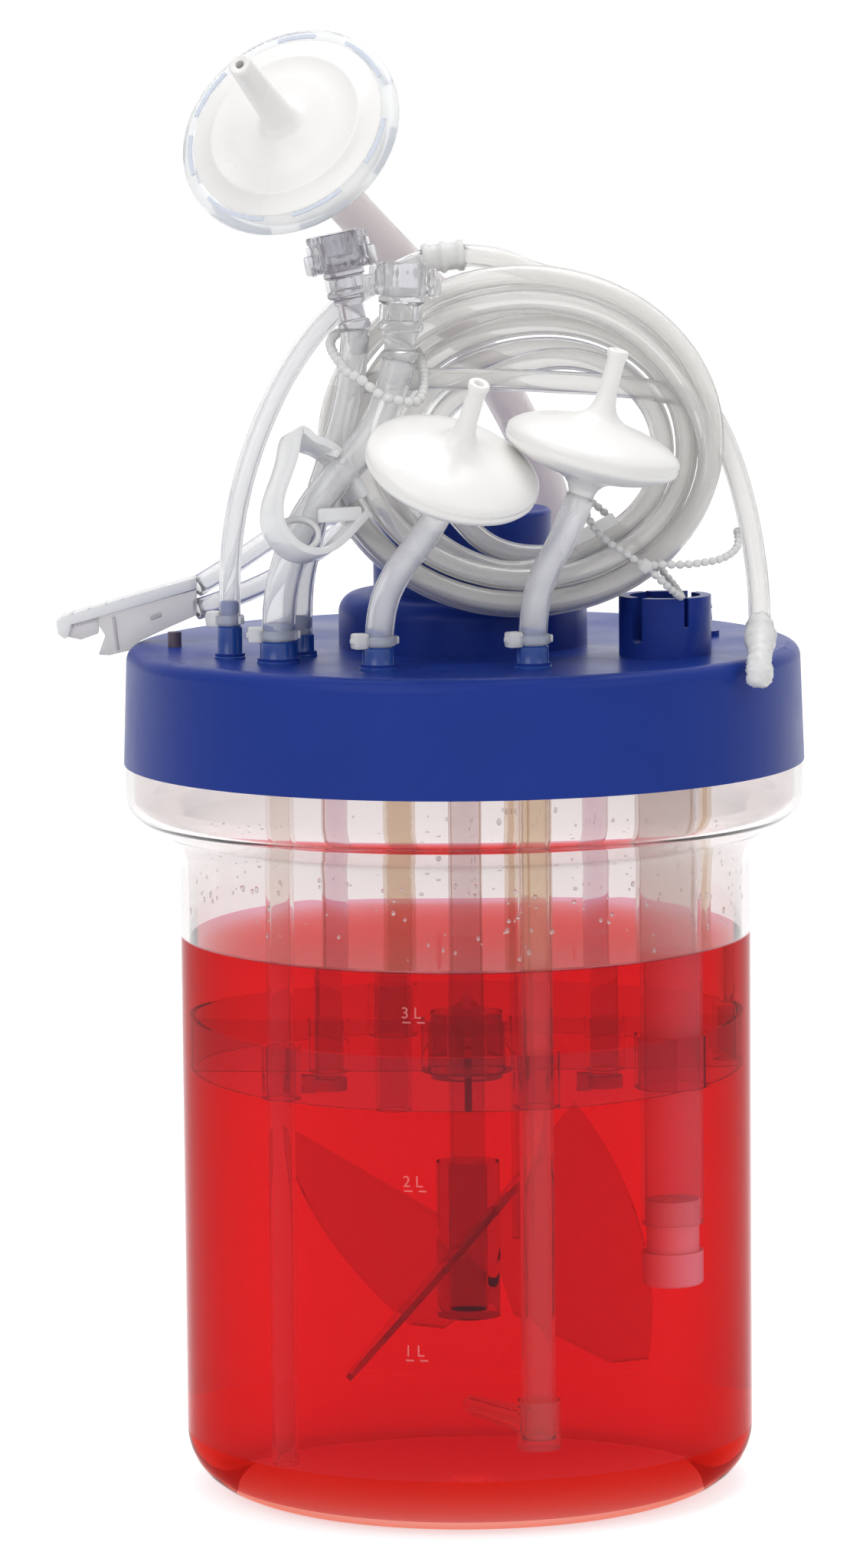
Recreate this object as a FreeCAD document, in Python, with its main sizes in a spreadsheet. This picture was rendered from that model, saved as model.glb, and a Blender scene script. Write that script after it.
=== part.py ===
# Bench bioreactor: a clear single-use stirred vessel with its filters and its coiled tubing.
# Frame: origin at the centre of the vessel's base, +Z up, the front of the vessel towards -Y.
import FreeCAD, Part
import math
import os
import re
import Sketcher

Vector, Rotation, Placement = FreeCAD.Vector, FreeCAD.Rotation, FreeCAD.Placement
UP = Vector(0, 0, 1)

# Driving dimensions, in millimetres and degrees. Each is one cell of the sheet, under this name.
SIZES = {
    # vessel
    "body_radius": 83.5,
    "wall": 2.4,
    "base_round": 17.5,
    "vessel_height": 214.6,
    "flange_reach": 15.6,
    "flange_drop": 13.3,
    "neck_drop": 23.9,
    "flange_round": 8.5,
    "neck_round": 14,
    "fill_height": 162.7,
    "film": 0.15,
    # lid
    "lid_overhang": 0.3,
    "lid_draft": 1.2,
    "lid_height": 34,
    "lid_edge": 4,
    "skirt": 4.6,
    "deck": 4.2,
    "hub_hole": 17,
    "seal_inset": 0.5,
    "seal_width": 1.6,
    "seal_height": 1.4,
    # drive hub
    "hub_radius": 36.25,
    "hub_height": 15.5,
    "hub_edge": 6,
    "turret_radius": 26,
    "turret_height": 39.4,
    "turret_wall": 4.5,
    "socket_radius": 20,
    "socket_depth": 9,
    "floor_thickness": 3.4,
    "sleeve_drop": 16,
    "sleeve_flange": 23.5,
    "sleeve_flange_height": 3.2,
    # rotor
    "shaft_radius": 4.9,
    "shaft_low": 52,
    "bearing_radius": 11,
    "bearing_height": 6,
    "ball_radius": 1.6,
    "running_play": 0.06,
    "magnet_ring": 18.5,
    "magnet_height": 9,
    "magnet_radius": 4,
    "impeller_inset": 32.5,
    "impeller_hub": 8.8,
    "impeller_low": 50,
    "impeller_height": 46,
    "blade_centre": 74.5,
    "blade_pitch": 50,
    "blade_thickness": 1.8,
    "blade_chord_up": 41,
    "blade_chord_down": 47,
    # steady
    "brace_low": 123,
    "brace_height": 15.5,
    "brace_inset": 7,
    "brace_band": 1.4,
    "brace_hub": 12.6,
    "brace_arm": 2,
    "bush_radius": 10,
    "rod_radius": 3.8,
    "rod_place": 38.2,
    # ports and dip tubes
    "port_inset": 10.8,
    "slim_tube": 3.1,
    "line_tube": 4.1,
    "wide_tube": 4.8,
    "vent_tube": 6,
    "tower_wall": 3.05,
    "tower_room": 1,
    "tower_height": 17,
    "sensor_radius": 9.2,
    "sensor_low": 65,
    "sensor_wall": 1.4,
    "sparge_low": 27,
    # filters
    "filter_radius": 25,
    "filter_half": 8.2,
    "filter_rim": 3.4,
    "stub_radius": 2.5,
    "under_stub": 2.9,
    "stub_reach": 29,
    "vent_radius": 32.8,
    "vent_half": 6.4,
    "vent_stub": 37,
    # coil
    "coil_wide": 58.7,
    "coil_tall": 51.2,
    "coil_hole": 29,
    "coil_depth": 19.6,
    "coil_edge": 5,
    "coil_lean": 12,
    "tube_wall": 1.15,
    "barb_wall": 0.8,
    "barb_pitch": 3.4,
    "barb_step": 0.3,
    "collar_step": 1.2,
    "collar_height": 1.5,
    "tall_barb": 16.4,
    "low_barb": 11.4,
    "boss_wall": 2,
    "boss_depth": 9,
    "outer_inset": 7.5,
    "inner_inset": 26.8,
    "sparge_inset": 12.8,
    "tower_inset": 15.9,
    "filter_tube": 4.1,
    "coil_tube": 3.2,
    "wide_slot": 3.6,
    "wide_slot_rise": 5.7,
    "thin_slot": 1.4,
    "thin_slot_rise": 9.1,
    "harvest_dip": 3.95,
    "harvest_low": 16,
    "sparge_dip": 4.9,
    "feed_dip": 4.9,
    "feed_low": 100,
    "thin_dip": 2.2,
    "thin_low": 60,
    "level_dip": 2,
    "level_low": 140,
    "dip_wall": 1.3,
    "sensor_cap_top": 83,
    "sensor_flange": 2,
    "sensor_plug": 7,
    "nozzle_tip": 2.6,
    "nozzle_reach": 26,
    "nozzle_height": 14,
    "nozzle_floor": 3,
    "nozzle_wall": 1.3,
    "bearing_lip": 8,
    "lip_height": 1.5,
    "race_outer": 9.4,
    "race_inner": 6.7,
    "track_depth": 0.5,
    "track_half": 1.3,
    "carrier_height": 17.2,
    "carrier_foot": 5,
    "magnet_circle": 13,
    "collar_radius": 7.4,
    "shaft_collar_height": 5.5,
    "blade_root_up": 5,
    "blade_root_down": 28,
    "blade_heel": 30,
    "sweep_gap": 1,
    "sweep_low": 36,
    "sweep_high": 112.5,
    "clip_wall": 1.8,
    "bush_step": 2,
    "tie_wall": 1.2,
    "tie_width": 3.4,
    "rod_tie_head": 4,
    "port_tie_wall": 1.1,
    "port_tie_width": 2.6,
    "tie_head": 4.2,
    "stub_bore": 1.3,
    "under_reach": 14,
    "vent_lip": 4,
    "vent_rim": 2.6,
    "membrane_half": 0.4,
    "membrane_radius": 29,
    "vent_back": 22,
    "left_neck": 4.6,
    "left_neck_height": 9.5,
    "left_waist": 5.9,
    "left_waist_height": 7.6,
    "left_spigot": 5.6,
    "left_spigot_height": 11,
    "left_ring": 8.7,
    "right_neck": 5.3,
    "right_neck_height": 8,
    "right_waist": 6.5,
    "right_waist_height": 10,
    "right_spigot": 5,
    "right_spigot_height": 9.5,
    "right_ring": 8.4,
    "wing_root": 1.5,
    "wing_width": 4.4,
    "wing_height": 5.6,
    "left_wing_reach": 10.4,
    "right_wing_reach": 11,
    "deck_plug_radius": 2,
    "deck_plug_inset": 15.4,
    "deck_plug_height": 4.4,
    "fitting_radius": 3,
    "fitting_length": 14,
    "upper_tie_front": 29,
    "jaw_end": -78,
    "plug_tip": 3,
    "band_wall": 1.5,
    "band_width": 3.2,
    "clamp_strip": 2.2,
    "clamp_width": 12,
    "line_clamp_thickness": 8,
    "line_clamp_back": 17,
    "joiner_radius": 4.3,
    "plug_radius": 3.9,
}

# Sizes that follow those above, so that what fits still fits when one of them is changed.
FOLLOWING = {
    "flange_radius": "body_radius + flange_reach",
    "lid_radius": "flange_radius + lid_overhang",
    "seal_outer": "flange_radius - seal_inset",
    "seal_inner": "seal_outer - seal_width",
    "impeller_radius": "body_radius - impeller_inset",
    "brace_radius": "body_radius - brace_inset",
    "port_ring": "body_radius - port_inset",
    "outer_ring": "body_radius - outer_inset",
    "inner_ring": "body_radius - inner_inset",
    "sparge_ring": "body_radius - sparge_inset",
    "tower_ring": "body_radius - tower_inset",
    "tower_bore": "sensor_radius + tower_room",
    "tower_radius": "tower_bore + tower_wall",
    "deck_top": "vessel_height + lid_height",
}

doc = FreeCAD.newDocument("bench_bioreactor")
sheet = doc.addObject("Spreadsheet::Sheet", "sizes")
cells = {**SIZES, **{alias: f"={formula}" for alias, formula in FOLLOWING.items()}}
for row, (alias, value) in enumerate(cells.items(), 1):
    sheet.set(f"A{row}", alias)
    sheet.set(f"B{row}", str(value))
    sheet.setAlias(f"B{row}", alias)
doc.recompute()

nodes = []


def size(alias):
    return float(sheet.get(alias))


# What hangs over the lid is placed for a deck at this height, and rises and sinks with the deck.
DRAWN_DECK = 248.6


def level(height):
    return height - DRAWN_DECK + size("deck_top")


def lifted(x, y, z):
    return x, y, level(z)


def bound(text):
    """Writes an expression on the sheet's cells: every alias in it gets the sheet's name."""
    return re.sub(r"[a-z][a-z_]+", lambda m: f"sizes.{m.group()}" if m.group() in cells else m.group(), text)


def bind(thing, **expressions):
    for path, text in expressions.items():
        thing.setExpression(path.replace("__", "."), bound(str(text)))


def named(thing, label):
    thing.Label = label
    nodes.append(thing)
    return thing


def draw(body, plane, corners, name, **offset):
    """Closed outline of straight lines. Each corner is a pair of expressions on the sheet."""
    sketch = body.newObject("Sketcher::SketchObject", name)
    origin = next(f for f in body.Origin.OriginFeatures if f.Role == plane)
    sketch.AttachmentSupport = [(origin, "")]
    sketch.MapMode = "FlatFace"
    bind(sketch, **{f"AttachmentOffset__{path}": text for path, text in offset.items()})
    count = len(corners)
    for i in range(count):
        sketch.addGeometry(Part.LineSegment(Vector(i, i * i, 0), Vector(i + 1, (i + 1) ** 2, 0)))
    for i in range(count):
        sketch.addConstraint(Sketcher.Constraint("Coincident", i, 2, (i + 1) % count, 1))
    for i, corner in enumerate(corners):
        for kind, text in zip(("DistanceX", "DistanceY"), corner):
            where = sketch.addConstraint(Sketcher.Constraint(kind, -1, 1, i, 1, 1.0))
            sketch.setExpression(f"Constraints[{where}]", bound(str(text)))
    return sketch


def rounded(body, base, sketch, corners, radius):
    """Rounds the circular edges that the given corners of a turned outline leave."""
    doc.recompute()
    spots = [sketch.Geometry[i].StartPoint for i in corners]
    names = []
    for number, edge in enumerate(base.Shape.Edges, 1):
        if not isinstance(edge.Curve, Part.Circle):
            continue
        centre, r = edge.Curve.Center, edge.Curve.Radius
        if any(abs(r - s.x) < 1e-3 and abs(centre.z - s.y) < 1e-3 for s in spots):
            names.append(f"Edge{number}")
    fillet = body.newObject("PartDesign::Fillet", f"{body.Name}_round")
    fillet.Base = (base, names)
    bind(fillet, Radius=radius)
    return fillet


def turn(body, kind, corners, name, x=0, y=0):
    """Turns an outline of (radius, height) corners about a vertical axis at (x, y)."""
    sketch = draw(body, "XZ_Plane", corners, f"{name}_outline", Base__x=x, Base__z=f"-({y})")
    feature = body.newObject(f"PartDesign::{kind}", name)
    feature.Profile = sketch
    feature.ReferenceAxis = (sketch, ["V_Axis"])
    feature.Angle = 360
    return feature, sketch


def turned(label, corners, rounds=(), x=0, y=0):
    body = named(doc.addObject("PartDesign::Body", label), label)
    feature, sketch = turn(body, "Revolution", corners, f"{label}_turn")
    for picked, radius in rounds:
        feature = rounded(body, feature, sketch, picked, radius)
    if (x, y) != (0, 0):
        bind(body, Placement__Base__x=x, Placement__Base__y=y)
    return body


def ring(inner, outer, low, high):
    return [(inner, low), (outer, low), (outer, high), (inner, high)]


def solid(kind, name, **expressions):
    """One of Part's primitives, its sizes and its place bound to the sheet."""
    thing = doc.addObject(f"Part::{kind}", name)
    bind(thing, **expressions)
    return thing


def joined(label, pieces):
    fuse = doc.addObject("Part::MultiFuse", label)
    fuse.Shapes = pieces
    fuse.Refine = True
    return fuse


def less(label, base, tool):
    cut = doc.addObject("Part::Cut", label)
    cut.Base, cut.Tool = base, tool
    return cut


def place(thing, at, direction=UP, about=0):
    """Puts a piece that was made along +Z at a point, along a direction, turned about itself."""
    thing.Placement = Placement(Vector(*at), Rotation(UP, Vector(*direction)) * Rotation(UP, about))


def fixed(label, shape):
    """A piece whose shape no feature gives, such as a free tube."""
    thing = doc.addObject("Part::Feature", label)
    thing.Shape = shape
    return named(thing, label)


# ---------------------------------------------------------------- vessel and lid
VESSEL_TOP = "vessel_height"
DECK_LOW = "deck_top - deck"
DECK_TOP = "deck_top"


def make_vessel():
    body = named(doc.addObject("PartDesign::Body", "vessel"), "vessel")
    outline = [
        (0, 0),
        ("body_radius", 0),
        ("body_radius", "vessel_height - neck_drop"),
        ("flange_radius", "vessel_height - flange_drop"),
        ("flange_radius", VESSEL_TOP),
        (0, VESSEL_TOP),
    ]
    feature, sketch = turn(body, "Revolution", outline, "vessel_turn")
    feature = rounded(body, feature, sketch, [1], "base_round")
    feature = rounded(body, feature, sketch, [3], "flange_round")
    feature = rounded(body, feature, sketch, [2], "neck_round")
    doc.recompute()
    top = max(range(len(feature.Shape.Faces)), key=lambda i: feature.Shape.Faces[i].CenterOfMass.z)
    hollow = body.newObject("PartDesign::Thickness", "vessel_hollow")
    hollow.Base = (feature, [f"Face{top + 1}"])
    hollow.Reversed = True
    bind(hollow, Value="wall")


# Every round port of the lid: its place on the deck by ring and angle, the tube that it takes, the
# height of its barb, and the dip tube below it as (outer radius, lowest point).
PORTS = {
    "gas": ("outer_ring", 208.2, "slim_tube", "tall_barb", None),
    "harvest": ("port_ring", 223.4, "wide_tube", "low_barb", ("harvest_dip", "harvest_low")),
    "sample": ("inner_ring", 213.1, "line_tube", "low_barb", None),
    "overlay": ("port_ring", 250.6, "filter_tube", "low_barb", None),
    "sparge": ("sparge_ring", 285.8, "filter_tube", "low_barb", ("sparge_dip", "sparge_low")),
    "vent": ("port_ring", 65.6, "vent_tube", "low_barb", None),
    "feed": ("port_ring", 105.7, "slim_tube", "low_barb", ("feed_dip", "feed_low")),
    "base": ("port_ring", 78.5, "slim_tube", "low_barb", ("thin_dip", "thin_low")),
    "level": ("port_ring", 11.9, "slim_tube", "low_barb", ("level_dip", "level_low")),
}


def across(name):
    circle, angle = PORTS[name][:2]
    return f"{circle} * cos({angle})", f"{circle} * sin({angle})"


def port_at(name, height):
    circle, angle = PORTS[name][:2]
    spread = size(circle)
    return Vector(spread * math.cos(math.radians(angle)), spread * math.sin(math.radians(angle)), height)


def make_lid():
    body = named(doc.addObject("PartDesign::Body", "lid"), "lid")
    outline = [
        ("hub_hole", DECK_LOW),
        ("hub_hole", DECK_TOP),
        ("lid_radius - lid_draft", DECK_TOP),
        ("lid_radius", VESSEL_TOP),
        ("seal_outer", VESSEL_TOP),
        ("seal_outer", "vessel_height + seal_height"),
        ("seal_inner", "vessel_height + seal_height"),
        ("seal_inner", VESSEL_TOP),
        ("lid_radius - skirt", VESSEL_TOP),
        ("lid_radius - skirt", DECK_LOW),
    ]
    feature, sketch = turn(body, "Revolution", outline, "lid_turn")
    feature = rounded(body, feature, sketch, [2], "lid_edge")
    for name, (circle, angle, tube, barb, dip) in PORTS.items():
        x, y = across(name)
        root, tip = f"{tube} - tube_wall", f"{DECK_TOP} + {barb}"
        outline = [
            (f"{root} - barb_wall", DECK_LOW),
            (f"{tube} + collar_step", DECK_LOW),
            (f"{tube} + collar_step", f"{DECK_TOP} + collar_height"),
            (root, f"{DECK_TOP} + collar_height"),
            (root, f"{tip} - 2 * barb_pitch"),
            (f"{root} + barb_step", f"{tip} - 2 * barb_pitch"),
            (root, f"{tip} - barb_pitch"),
            (f"{root} + barb_step", f"{tip} - barb_pitch"),
            (f"{root} - barb_step", tip),
            (f"{root} - barb_wall", tip),
        ]
        turn(body, "Revolution", outline, f"{name}_barb", x, y)
        if dip:
            boss = ring(dip[0], f"{dip[0]} + boss_wall", f"{DECK_LOW} - boss_depth", DECK_LOW)
            turn(body, "Revolution", boss, f"{name}_boss", x, y)
        bore = ring(0, f"{root} - barb_wall", f"{DECK_LOW} - film", tip)
        turn(body, "Groove", bore, f"{name}_bore", x, y)
    tower = ring("sensor_radius", "tower_radius", DECK_LOW, DECK_TOP)
    turn(body, "Revolution", tower, "tower_foot", *TOWER)
    wall = ring("tower_bore", "tower_radius", DECK_TOP, f"{DECK_TOP} + tower_height")
    turn(body, "Revolution", wall, "tower_wall", *TOWER)
    hole = ring(0, "sensor_radius + film", DECK_LOW, DECK_TOP)
    turn(body, "Groove", hole, "tower_hole", *TOWER)
    for name, angle in TOWER_SLOTS:
        slot(body, name, angle)
    return body


TOWER = ("tower_ring * cos(328.8)", "tower_ring * sin(328.8)")
TOWER_SLOTS = (("wide_slot", -39.5), ("thin_slot", 25.7))


def slot(body, name, angle):
    """Open slot through both walls of the tower, its foot round, seen from the front at an angle."""
    sketch = body.newObject("Sketcher::SketchObject", f"{name}_outline")
    sketch.AttachmentSupport = [(next(f for f in body.Origin.OriginFeatures if f.Role == "XZ_Plane"), "")]
    sketch.MapMode = "FlatFace"
    sketch.AttachmentOffset = Placement(Vector(), Rotation(Vector(0, 1, 0), angle))
    bind(sketch, AttachmentOffset__Base__x=TOWER[0], AttachmentOffset__Base__z=f"-({TOWER[1]})")
    half, foot, top = size(name) / 2, size("deck_top") + size(f"{name}_rise"), size("deck_top") + 20
    sketch.addGeometry(Part.LineSegment(Vector(half, foot, 0), Vector(half, top, 0)))
    sketch.addGeometry(Part.LineSegment(Vector(half, top, 0), Vector(-half, top, 0)))
    sketch.addGeometry(Part.LineSegment(Vector(-half, top, 0), Vector(-half, foot, 0)))
    sketch.addGeometry(Part.ArcOfCircle(Part.Circle(Vector(0, foot, 0), UP, half), math.pi, 2 * math.pi))
    for first, second in ((0, 1), (1, 2)):
        sketch.addConstraint(Sketcher.Constraint("Coincident", first, 2, second, 1))
    sketch.addConstraint(Sketcher.Constraint("Tangent", 2, 2, 3, 1))
    sketch.addConstraint(Sketcher.Constraint("Tangent", 3, 2, 0, 1))
    sketch.addConstraint(Sketcher.Constraint("Vertical", 0))
    sketch.addConstraint(Sketcher.Constraint("Vertical", 2))
    sketch.addConstraint(Sketcher.Constraint("Horizontal", 1))
    for kind, target, end, start, text in (
        ("DistanceX", 0, 1, half, f"{name} / 2"),
        ("DistanceY", 0, 1, foot, f"{DECK_TOP} + {name}_rise"),
        ("DistanceY", 0, 2, top, f"{DECK_TOP} + tower_height + film"),
    ):
        where = sketch.addConstraint(Sketcher.Constraint(kind, -1, 1, target, end, start))
        sketch.setExpression(f"Constraints[{where}]", bound(text))
    sketch.addConstraint(Sketcher.Constraint("PointOnObject", 3, 3, -2))
    pocket = body.newObject("PartDesign::Pocket", f"{name}_cut")
    pocket.Profile = sketch
    pocket.SideType = "Symmetric"
    bind(pocket, Length="2 * tower_radius + 2 * film")


def make_medium(sunk, held):
    """The liquid, clear of the vessel's film, of the impeller's sweep and of all that hangs in it."""
    body = doc.addObject("PartDesign::Body", "medium_body")
    outline = ring(0, "body_radius - wall - film", "wall + film", "fill_height")
    feature, sketch = turn(body, "Revolution", outline, "medium_turn")
    feature = rounded(body, feature, sketch, [1], "base_round - wall - film")
    hollow = [
        ("impeller_radius + sweep_gap", "sweep_low", "sweep_high"),
        ("bush_radius + sweep_gap", "sweep_high - film", "fill_height + film"),
    ]
    for number, (radius, low, high) in enumerate(hollow):
        turn(body, "Groove", ring(0, radius, low, high), f"medium_hollow_{number}")
    tools = []
    for number, (radius, x, y, low) in enumerate(sunk):
        tool = solid(
            "Cylinder",
            f"medium_cut_{number}",
            Radius=f"{radius} + 2 * film",
            Height=f"fill_height - ({low}) + 3 * film",
            Placement__Base__x=x,
            Placement__Base__y=y,
            Placement__Base__z=f"{low} - 2 * film",
        )
        tools.append(tool)
    for side, sign in (("left", "-"), ("right", "")):
        reach, half = "rod_radius + rod_tie_head + 2 * film", "rod_radius + tie_wall + 2 * film"
        room = solid("Box", f"{side}_tie_room", Length=f"{reach} + {half}", Width=f"2 * ({half})")
        bind(room, Height="2 * tie_width", Placement__Base__x=f"{sign}rod_place - ({reach})")
        bind(room, Placement__Base__y=f"-({half})", Placement__Base__z="brace_low - bush_step - 1.5 * tie_width")
        tools.append(room)
    tools.append(brace_walls("brace_room", held, "2 * film"))
    tools.append(nozzle_room())
    named(less("culture_medium", body, joined("medium_cuts", tools)), "culture_medium")


def make_dip_tubes():
    for name, (circle, angle, tube, barb, dip) in PORTS.items():
        if dip:
            outer, low = dip
            x, y = across(name)
            turned(f"{name}_dip_tube", ring(f"{outer} - dip_wall", outer, low, DECK_LOW), x=x, y=y)
    outline = [
        ("sensor_radius - sensor_wall", "sensor_cap_top"),
        ("sensor_radius", "sensor_cap_top"),
        ("sensor_radius", DECK_TOP),
        ("tower_bore - film", DECK_TOP),
        ("tower_bore - film", f"{DECK_TOP} + sensor_flange"),
        ("sensor_radius - sensor_wall", f"{DECK_TOP} + sensor_flange"),
    ]
    turned("sensor_sleeve", outline, x=TOWER[0], y=TOWER[1])
    outline = [
        (0, "sensor_low"),
        ("sensor_radius - film", "sensor_low"),
        ("sensor_radius - film", "sensor_low + 0.55 * (sensor_cap_top - sensor_low)"),
        ("sensor_radius - sensor_wall", "sensor_low + 0.55 * (sensor_cap_top - sensor_low)"),
        ("sensor_radius - sensor_wall", "sensor_cap_top + sensor_plug"),
        (0, "sensor_cap_top + sensor_plug"),
    ]
    turned("sensor_tip", outline, rounds=[([1], "film * 8")], x=TOWER[0], y=TOWER[1])
    hole = solid("Cylinder", "nozzle_hole", Radius="sparge_dip", Height="nozzle_height")
    bind(hole, Placement__Base__z="nozzle_floor")
    duct = solid("Cylinder", "nozzle_duct", Radius="nozzle_tip - 1", Height="nozzle_reach")
    place(duct, (0, 0, size("nozzle_height") / 2), NOZZLE_WAY)
    nozzle = less("sparge_nozzle", nozzle_outside("nozzle", "0"), joined("nozzle_inside", [hole, duct]))
    set_below_sparge(nozzle)
    named(nozzle, "sparge_nozzle")


NOZZLE_WAY = (-0.74, 0.62, 0.1)


def nozzle_outside(name, more):
    """Socket and arm of the sparge nozzle, fatter by what is given."""
    socket = solid("Cylinder", f"{name}_socket", Radius=f"sparge_dip + nozzle_wall + {more}")
    bind(socket, Height=f"nozzle_height + 2 * {more}", Placement__Base__z=f"-({more})")
    arm = solid("Cone", f"{name}_arm", Radius1=f"sparge_dip - nozzle_wall / 2 + {more}")
    bind(arm, Radius2=f"nozzle_tip + {more}", Height=f"nozzle_reach + {more}")
    place(arm, (0, 0, size("nozzle_height") / 2), NOZZLE_WAY)
    return joined(f"{name}_outside", [socket, arm])


def nozzle_room():
    room = nozzle_outside("nozzle_room", "2 * film")
    set_below_sparge(room)
    return room


def set_below_sparge(piece):
    x, y = across("sparge")
    bind(piece, Placement__Base__x=x, Placement__Base__y=y, Placement__Base__z="sparge_low - nozzle_floor")


def make_hub():
    outline = [
        ("hub_radius", DECK_TOP),
        ("hub_radius", f"{DECK_TOP} + hub_height"),
        ("turret_radius", f"{DECK_TOP} + hub_height"),
        ("turret_radius", f"{DECK_TOP} + turret_height"),
        ("socket_radius", f"{DECK_TOP} + turret_height"),
        ("socket_radius", f"{DECK_TOP} + turret_height - socket_depth"),
        (0, f"{DECK_TOP} + turret_height - socket_depth"),
        (0, f"{DECK_TOP} + turret_height - socket_depth - floor_thickness"),
        ("turret_radius - turret_wall", f"{DECK_TOP} + turret_height - socket_depth - floor_thickness"),
        ("turret_radius - turret_wall", f"{DECK_TOP} + sleeve_flange_height + film"),
        ("sleeve_flange + film", f"{DECK_TOP} + sleeve_flange_height + film"),
        ("sleeve_flange + film", DECK_TOP),
    ]
    turned("drive_turret", outline, rounds=[([1], "hub_edge"), ([3], "film * 10")])
    outline = [
        ("bearing_lip", HOUSING_LOW),
        ("hub_hole", HOUSING_LOW),
        ("hub_hole", DECK_TOP),
        ("sleeve_flange", DECK_TOP),
        ("sleeve_flange", f"{DECK_TOP} + sleeve_flange_height"),
        ("bearing_radius", f"{DECK_TOP} + sleeve_flange_height"),
        ("bearing_radius", f"{HOUSING_LOW} + lip_height"),
        ("bearing_lip", f"{HOUSING_LOW} + lip_height"),
    ]
    turned("bearing_housing", outline)
    low, top = f"{HOUSING_LOW} + lip_height", f"{DECK_TOP} + sleeve_flange_height"
    between_bearings = f"{low} + bearing_height", f"{top} - bearing_height"
    turned("bearing_spacer", ring("race_outer", "bearing_radius", *between_bearings))
    for name, foot in (("lower", low), ("upper", f"{top} - bearing_height")):
        make_bearing(name, foot)


HOUSING_LOW = "deck_top - sleeve_drop"
BALLS = 9


def make_bearing(name, foot):
    """Two rings, each with a track for the balls, and the balls between them."""
    middle = f"{foot} + bearing_height / 2"
    for part, plain, race, inward in (
        ("outer", "bearing_radius", "race_outer", "+"),
        ("inner", "shaft_radius", "race_inner", "-"),
    ):
        outline = [
            (plain, foot),
            (race, foot),
            (race, f"{middle} - track_half"),
            (f"{race} {inward} track_depth", f"{middle} - track_half / 2"),
            (f"{race} {inward} track_depth", f"{middle} + track_half / 2"),
            (race, f"{middle} + track_half"),
            (race, f"{foot} + bearing_height"),
            (plain, f"{foot} + bearing_height"),
        ]
        turned(f"{name}_bearing_{part}", outline)
    balls = []
    for number in range(BALLS):
        angle = 360 / BALLS * number
        ball = solid("Sphere", f"{name}_ball_{number}", Radius="ball_radius", Placement__Base__z=middle)
        bind(ball, Placement__Base__x=f"(race_outer + race_inner) / 2 * cos({angle})")
        bind(ball, Placement__Base__y=f"(race_outer + race_inner) / 2 * sin({angle})")
        balls.append(ball)
    group = doc.addObject("Part::Compound", f"{name}_bearing_balls")
    group.Links = balls
    named(group, f"{name}_bearing_balls")


def make_rotor():
    top = f"{DECK_TOP} + sleeve_flange_height + carrier_height"
    turned("shaft", ring(0, "shaft_radius", "shaft_low", top))
    low = f"{HOUSING_LOW} + lip_height"
    turned("shaft_collar", ring("shaft_radius", "collar_radius", f"{low} - shaft_collar_height", low))
    body = doc.addObject("PartDesign::Body", "carrier_body")
    outline = [
        ("shaft_radius", f"{DECK_TOP} + sleeve_flange_height"),
        ("race_inner", f"{DECK_TOP} + sleeve_flange_height"),
        ("race_inner", f"{DECK_TOP} + sleeve_flange_height + carrier_foot"),
        ("magnet_ring", f"{DECK_TOP} + sleeve_flange_height + carrier_foot"),
        ("magnet_ring", top),
        ("shaft_radius", top),
    ]
    turn(body, "Revolution", outline, "carrier_turn")
    magnets, pockets = [], []
    for number in range(MAGNETS):
        angle = 360 / MAGNETS * number
        for list_, kind in ((magnets, "magnet"), (pockets, "pocket")):
            thing = solid("Cylinder", f"{kind}_{number}", Radius="magnet_radius", Height="magnet_height")
            bind(thing, Placement__Base__x=f"magnet_circle * cos({angle})")
            bind(thing, Placement__Base__y=f"magnet_circle * sin({angle})")
            bind(thing, Placement__Base__z=f"{top} - magnet_height")
            list_.append(thing)
    named(less("magnet_carrier", body, joined("pockets", pockets)), "magnet_carrier")
    group = doc.addObject("Part::Compound", "drive_magnets")
    group.Links = magnets
    named(group, "drive_magnets")
    make_impeller()


MAGNETS = 6
BLADES = 3
FIRST_BLADE = -96


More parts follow.
